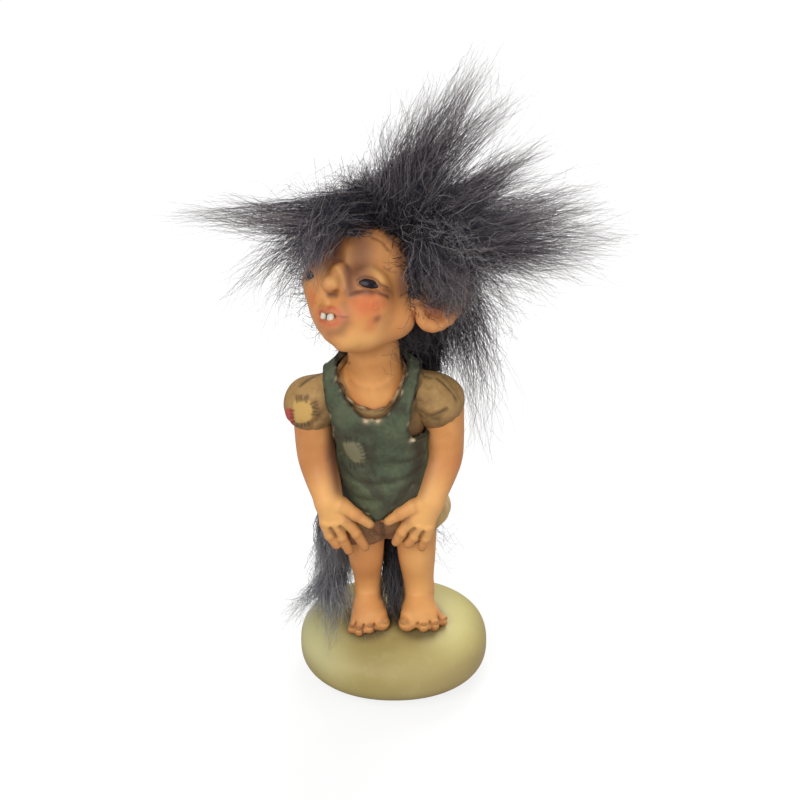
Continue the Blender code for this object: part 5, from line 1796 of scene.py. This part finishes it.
def tail_parts():
    root = HIPS + spot(-6.4, 9.0, -1.0)
    top = spot(-16.2, 8.5, 45)
    foot = spot(-15.8, 5.0, 21.5)
    tips = hair_ends(
        (-28, 6, 14.5, 0.7),
        (-28.5, 2, 13.5, 0.9),
        (-23, -5, 17.0, 0.9),
        (-17, -15.5, 14.5, 0.7),
        (-10, -11, 17.6, 0.4),
        (-15, -2, 18.4, 1.2),
        (-18, 1, 18.2, 1.0),
        (-5.5, -12.3, 17.6, 0.2),
    )
    column = ((foot, 1.0), (foot + spot(-2.0, -1, -1), 0.7), (foot + spot(1.8, 0, -2), 1.0))
    hide_root, hide_bend, hide_end = hide_joints()
    low = ((foot + spot(1.5, 2, 0), 1.0), (foot + spot(4, 4, 2), 0.8))
    curtain = (
        (foot + spot(1.0, 3, 5), 1.0), (foot + spot(2.5, 3.5, 9), 1.0), (foot + spot(0, 2.5, 12), 0.8)
    )
    return [
        lock(root, ((top, 1.0),), 320, 2.4, 1.6, 0.9, bow=(0, 0, 1), reach=(0.5, 1.1)),
        lock(top, column, 1150, 3.0, 1.9, 1.1, turns=2.0, bow=(-1.0, 0, 0), reach=(0.4, 1.1), width=0.075),
        lock(foot + spot(0, 0.5, 3), tips, 620, 3.4, 1.3, 1.1, turns=1.5, reach=(0.3, 1.05)),
        lock(hide_root, ((hide_bend, 1.0),), 420, 1.7, 1.3, 0.5, reach=(0.6, 1.3), width=0.1),
        lock(hide_bend, ((hide_end, 1.0),), 620, 1.8, 1.4, 0.7, reach=(0.5, 1.3), width=0.1),
        lock(hide_bend + spot(-2.5, -1, 0), curtain, 900, 2.8, 2.2, 1.1, reach=(0.4, 1.1), width=0.085),
        lock(hide_end + spot(0, 0, 2), low, 700, 2.0, 2.0, 1.2, turns=1.8, reach=(0.4, 1.1), width=0.08),
    ]


# Where the fur begins on the head, as its front edge at each height in the head's own frame
HAIRLINE_HEIGHTS = (-14, -6, -3, 0, 4, 7, 10, 12, 13.5, 17)
HAIRLINE_FRONTS = (7.5, 4, 1.5, -1.5, -3.2, -3.5, -3.8, -4.8, -5.6, -7.5)


def behind_hairline(points, margin=0.0):
    return points[..., 1] - np.interp(points[..., 2], HAIRLINE_HEIGHTS, HAIRLINE_FRONTS) - margin


# The pelt lies over the skull by these margins, and this many curls grow from as many tries
PELT_OUTSIDE = 0.9
PELT_INSIDE = -0.3
CURL_TRIES = 14000
CURLS = 5200


def make_cap(finish):
    """Matted curls all over the crown and the back of the head, glued on a dark pelt."""
    random = np.random.default_rng(90)
    ways = unit(random.normal(size=(CURL_TRIES, 3)))
    roots = SKULL_CENTRE + ways * SKULL_RADII
    kept = behind_hairline(roots) > -0.2
    ways, roots = ways[kept][:CURLS], roots[kept][:CURLS]
    count, steps = len(ways), 10
    along = np.linspace(0, 1, steps)[None, :, None]
    comb = unit(ways * 0.5 + random.normal(size=(count, 3)) * 0.7 + spot(0, 0.4, 0.3))
    length = random.uniform(4, 9, (count, 1, 1))
    # A third of the curls stand off the crown
    lift = np.where(np.arange(count) % 3 == 0, random.uniform(3.0, 7.5, count), 2.4)[:, None, None]
    paths = roots[:, None, :] + ways[:, None, :] * lift * np.sin(along * pi * 0.6)
    paths = paths + comb[:, None, :] * length * along
    paths = paths + waves(random, count, steps, 1.6, 1.8)
    paths = HEAD_CENTRE + paths @ HEAD_TURN.T
    obj = strand_object("fur_cap", paths, random.uniform(0.055, 0.10, count), random.uniform(0, 1, count))
    place(obj, finish, "fur_blue_black", "fur_cap")
    clay = Clay(HEAD_CENTRE - 19, HEAD_CENTRE + 19, 0.4)
    clay.add(ball(in_head(*SKULL_CENTRE), SKULL_RADII + PELT_OUTSIDE, HEAD_TURN), 0)
    clay.carve(ball(in_head(*SKULL_CENTRE), SKULL_RADII + PELT_INSIDE, HEAD_TURN), 0)
    clay.keep(lambda points: -behind_hairline((points - HEAD_CENTRE) @ HEAD_TURN, 2.2), 0.5)
    clay.sink(0.3 * ripple(clay.everywhere(), 1.1, 91))
    pelt = cast_from(clay, "fur_cap_pelt", ("along", "tone"))
    place(pelt, finish, "fur_blue_black", "fur_cap")


def make_hide(finish):
    root, bend, end = hide_joints()
    clay = Clay(np.minimum(root, end) - 3, np.maximum(np.maximum(root, bend), end) + 3, 0.24)
    clay.add_limb([root, root + (bend - root) * 0.7, bend, end], [1.2, 1.2, 1.2, 0.8], 0.8)
    place(cast_from(clay, "tail_hide", CLOTH_PAINTS), finish, "hide", "tail_hide")


# The white floor, the strength of its glow, and the glow's share where the camera looks at it
FLOOR_HALF_SIDE = 3000
FLOOR_GLOW = 1.35
FLOOR_GLOW_SHARE = 0.6


def stage():
    side = FLOOR_HALF_SIDE
    corners = [(-side, -side, 0), (side, -side, 0), (side, side, 0), (-side, side, 0)]
    floor = new_object("floor", corners, [(0, 1, 2, 3)])
    paint = Paint("floor_white", base_color=(0.5, 0.5, 0.5), roughness=0.9, specular_ior_level=0.1)
    glow = paint.node("ShaderNodeEmission", {}, {"Color": (1, 1, 1), "Strength": FLOOR_GLOW})
    camera_ray = paint.node("ShaderNodeLightPath", output=0)
    body = Wire(paint, paint.shader.outputs[0])
    mixed = paint.node("ShaderNodeMixShader", {}, {0: camera_ray * FLOOR_GLOW_SHARE, 1: body, 2: glow})
    output = next(node for node in paint.tree.nodes if node.type == "OUTPUT_MATERIAL")
    paint.tree.links.new(mixed.socket, output.inputs["Surface"])
    floor.data.materials.append(paint.material)


# The sky's light on the figure
SKY_STRENGTH = 0.42


def sky():
    world = bpy.data.worlds.new("studio")
    bpy.context.scene.world = world
    world.use_nodes = True
    tree = world.node_tree
    soft = tree.nodes["Background"]
    soft.inputs["Color"].default_value = (1.0, 1.0, 1.0, 1)
    soft.inputs["Strength"].default_value = SKY_STRENGTH
    white = tree.nodes.new("ShaderNodeBackground")
    white.inputs["Strength"].default_value = 1.0
    path = tree.nodes.new("ShaderNodeLightPath")
    mixer = tree.nodes.new("ShaderNodeMixShader")
    tree.links.new(path.outputs["Is Camera Ray"], mixer.inputs[0])
    tree.links.new(soft.outputs[0], mixer.inputs[1])
    tree.links.new(white.outputs[0], mixer.inputs[2])
    tree.links.new(mixer.outputs[0], tree.nodes["World Output"].inputs["Surface"])


def lamp(name, place_mm, size, power):
    data = bpy.data.lights.new(name, "AREA")
    data.shape = "DISK"
    data.size = size * MM
    data.energy = power
    obj = linked(name, data)
    obj.location = Vector(place_mm) * MM
    aim = Vector(CAMERA_TARGET) * MM - obj.location
    obj.rotation_euler = aim.to_track_quat("-Z", "Y").to_euler()


def camera():
    data = bpy.data.cameras.new("camera")
    data.lens = LENS
    data.sensor_width = SENSOR
    data.clip_end = 10
    obj = linked("camera", data)
    obj.location = Vector(CAMERA_PLACE) * MM
    obj.rotation_euler = (pi / 2 - CAMERA_RISE, 0, 0)
    bpy.context.scene.camera = obj


# Each cloth's colours, deep, middle, light and dirty, and how much of it the dirt takes. The dirty colour is
# also painted shade, and the light one a painted highlight on the ridges.
CLOTHS = {
    "shirt_mustard": ((0.33, 0.19, 0.065), (0.45, 0.27, 0.1), (0.6, 0.4, 0.17), (0.12, 0.055, 0.02), 0.3),
    "tunic_green": ((0.06, 0.08, 0.045), (0.1, 0.12, 0.065), (0.2, 0.21, 0.13), (0.04, 0.03, 0.02), 0.6),
    "shorts_brown": ((0.36, 0.21, 0.08), (0.46, 0.28, 0.1), (0.56, 0.37, 0.16), (0.21, 0.085, 0.045), 0.3),
    "hide": ((0.1, 0.08, 0.07), (0.14, 0.11, 0.1), (0.2, 0.17, 0.15), (0.05, 0.04, 0.035), 0.4),
}

# Each fur's colours at its root, its middle and its tip
FURS = {
    "fur_blue_black": ((0.011, 0.011, 0.020), (0.062, 0.058, 0.083), (0.32, 0.275, 0.275)),
    "tail_fur_grey": ((0.065, 0.065, 0.088), (0.23, 0.23, 0.26), (0.46, 0.45, 0.46)),
    # Dark fur for the cap, the nape and between the legs, darker still as painted shade within the dense fur
    "shaded_fur": ((0.006, 0.005, 0.008), (0.018, 0.016, 0.020), (0.08, 0.072, 0.078)),
    # Light strays whose colour is a painted glint on the curls
    "glint_fur": ((0.14, 0.13, 0.15), (0.36, 0.33, 0.34), (0.50, 0.46, 0.46)),
}

# Each lamp's name, place and size in millimetres, and power
LAMPS = (
    ("key", (-250, -450, 460), 480, 2.6),
    ("rim", (120, 420, 520), 480, 3.0),
    ("fill", (450, -450, 250), 420, 0.9),
)


def dress():
    skin = skin_paint()
    cloths = {name: cloth_paint(name, *colours) for name, colours in CLOTHS.items()}
    furs = {name: fur_paint(name, *colours) for name, colours in FURS.items()}
    fur, deep = furs["fur_blue_black"], furs["shaded_fur"]

    make_stone(stone_paint())
    for word, side in SIDES.items():
        make_leg(f"{word}_leg", side, skin)
        make_arm(f"{word}_arm", side, skin)
        make_sleeve(f"{word}_sleeve", side, cloths["shirt_mustard"])
        make_ear(f"{word}_ear", side, skin)
    black = eye_paint()
    for word, side in SIDES.items():
        make_eye(f"{word}_eye", side, black)
    make_shorts(cloths["shorts_brown"])
    make_torso(skin)
    make_shirt(cloths["shirt_mustard"])
    make_tunic(cloths["tunic_green"])
    make_head(skin)
    make_teeth(tooth_paint())
    make_hide(cloths["hide"])
    make_cap(deep)
    make_fur("crest_tuft", fur, crest_parts(), 101)
    make_fur("left_upper_tuft", fur, upper_parts(), 102)
    make_fur("left_fan_tuft", fur, fan_parts(), 103)
    make_fur("right_front_tuft", fur, front_parts(), 104)
    make_fur("right_fringe_tuft", fur, fringe_parts(), 105)
    make_fur("left_side_lock", fur, side_parts(), 106)
    make_fur("nape_tuft", deep, nape_parts(), 107)
    make_fur("crown_strays", furs["glint_fur"], stray_parts(), 110, "crest_tuft")
    make_fur("back_tuft", fur, back_parts(), 108)
    make_fur("tail_fur", furs["tail_fur_grey"], tail_parts(), 109)
    make_fur("leg_gap_fur", deep, leg_gap_parts(), 111, "tail_fur")


dress()
stage()
sky()
camera()
for row in LAMPS:
    lamp(*row)
bpy.context.scene.view_settings.view_transform = "Standard"
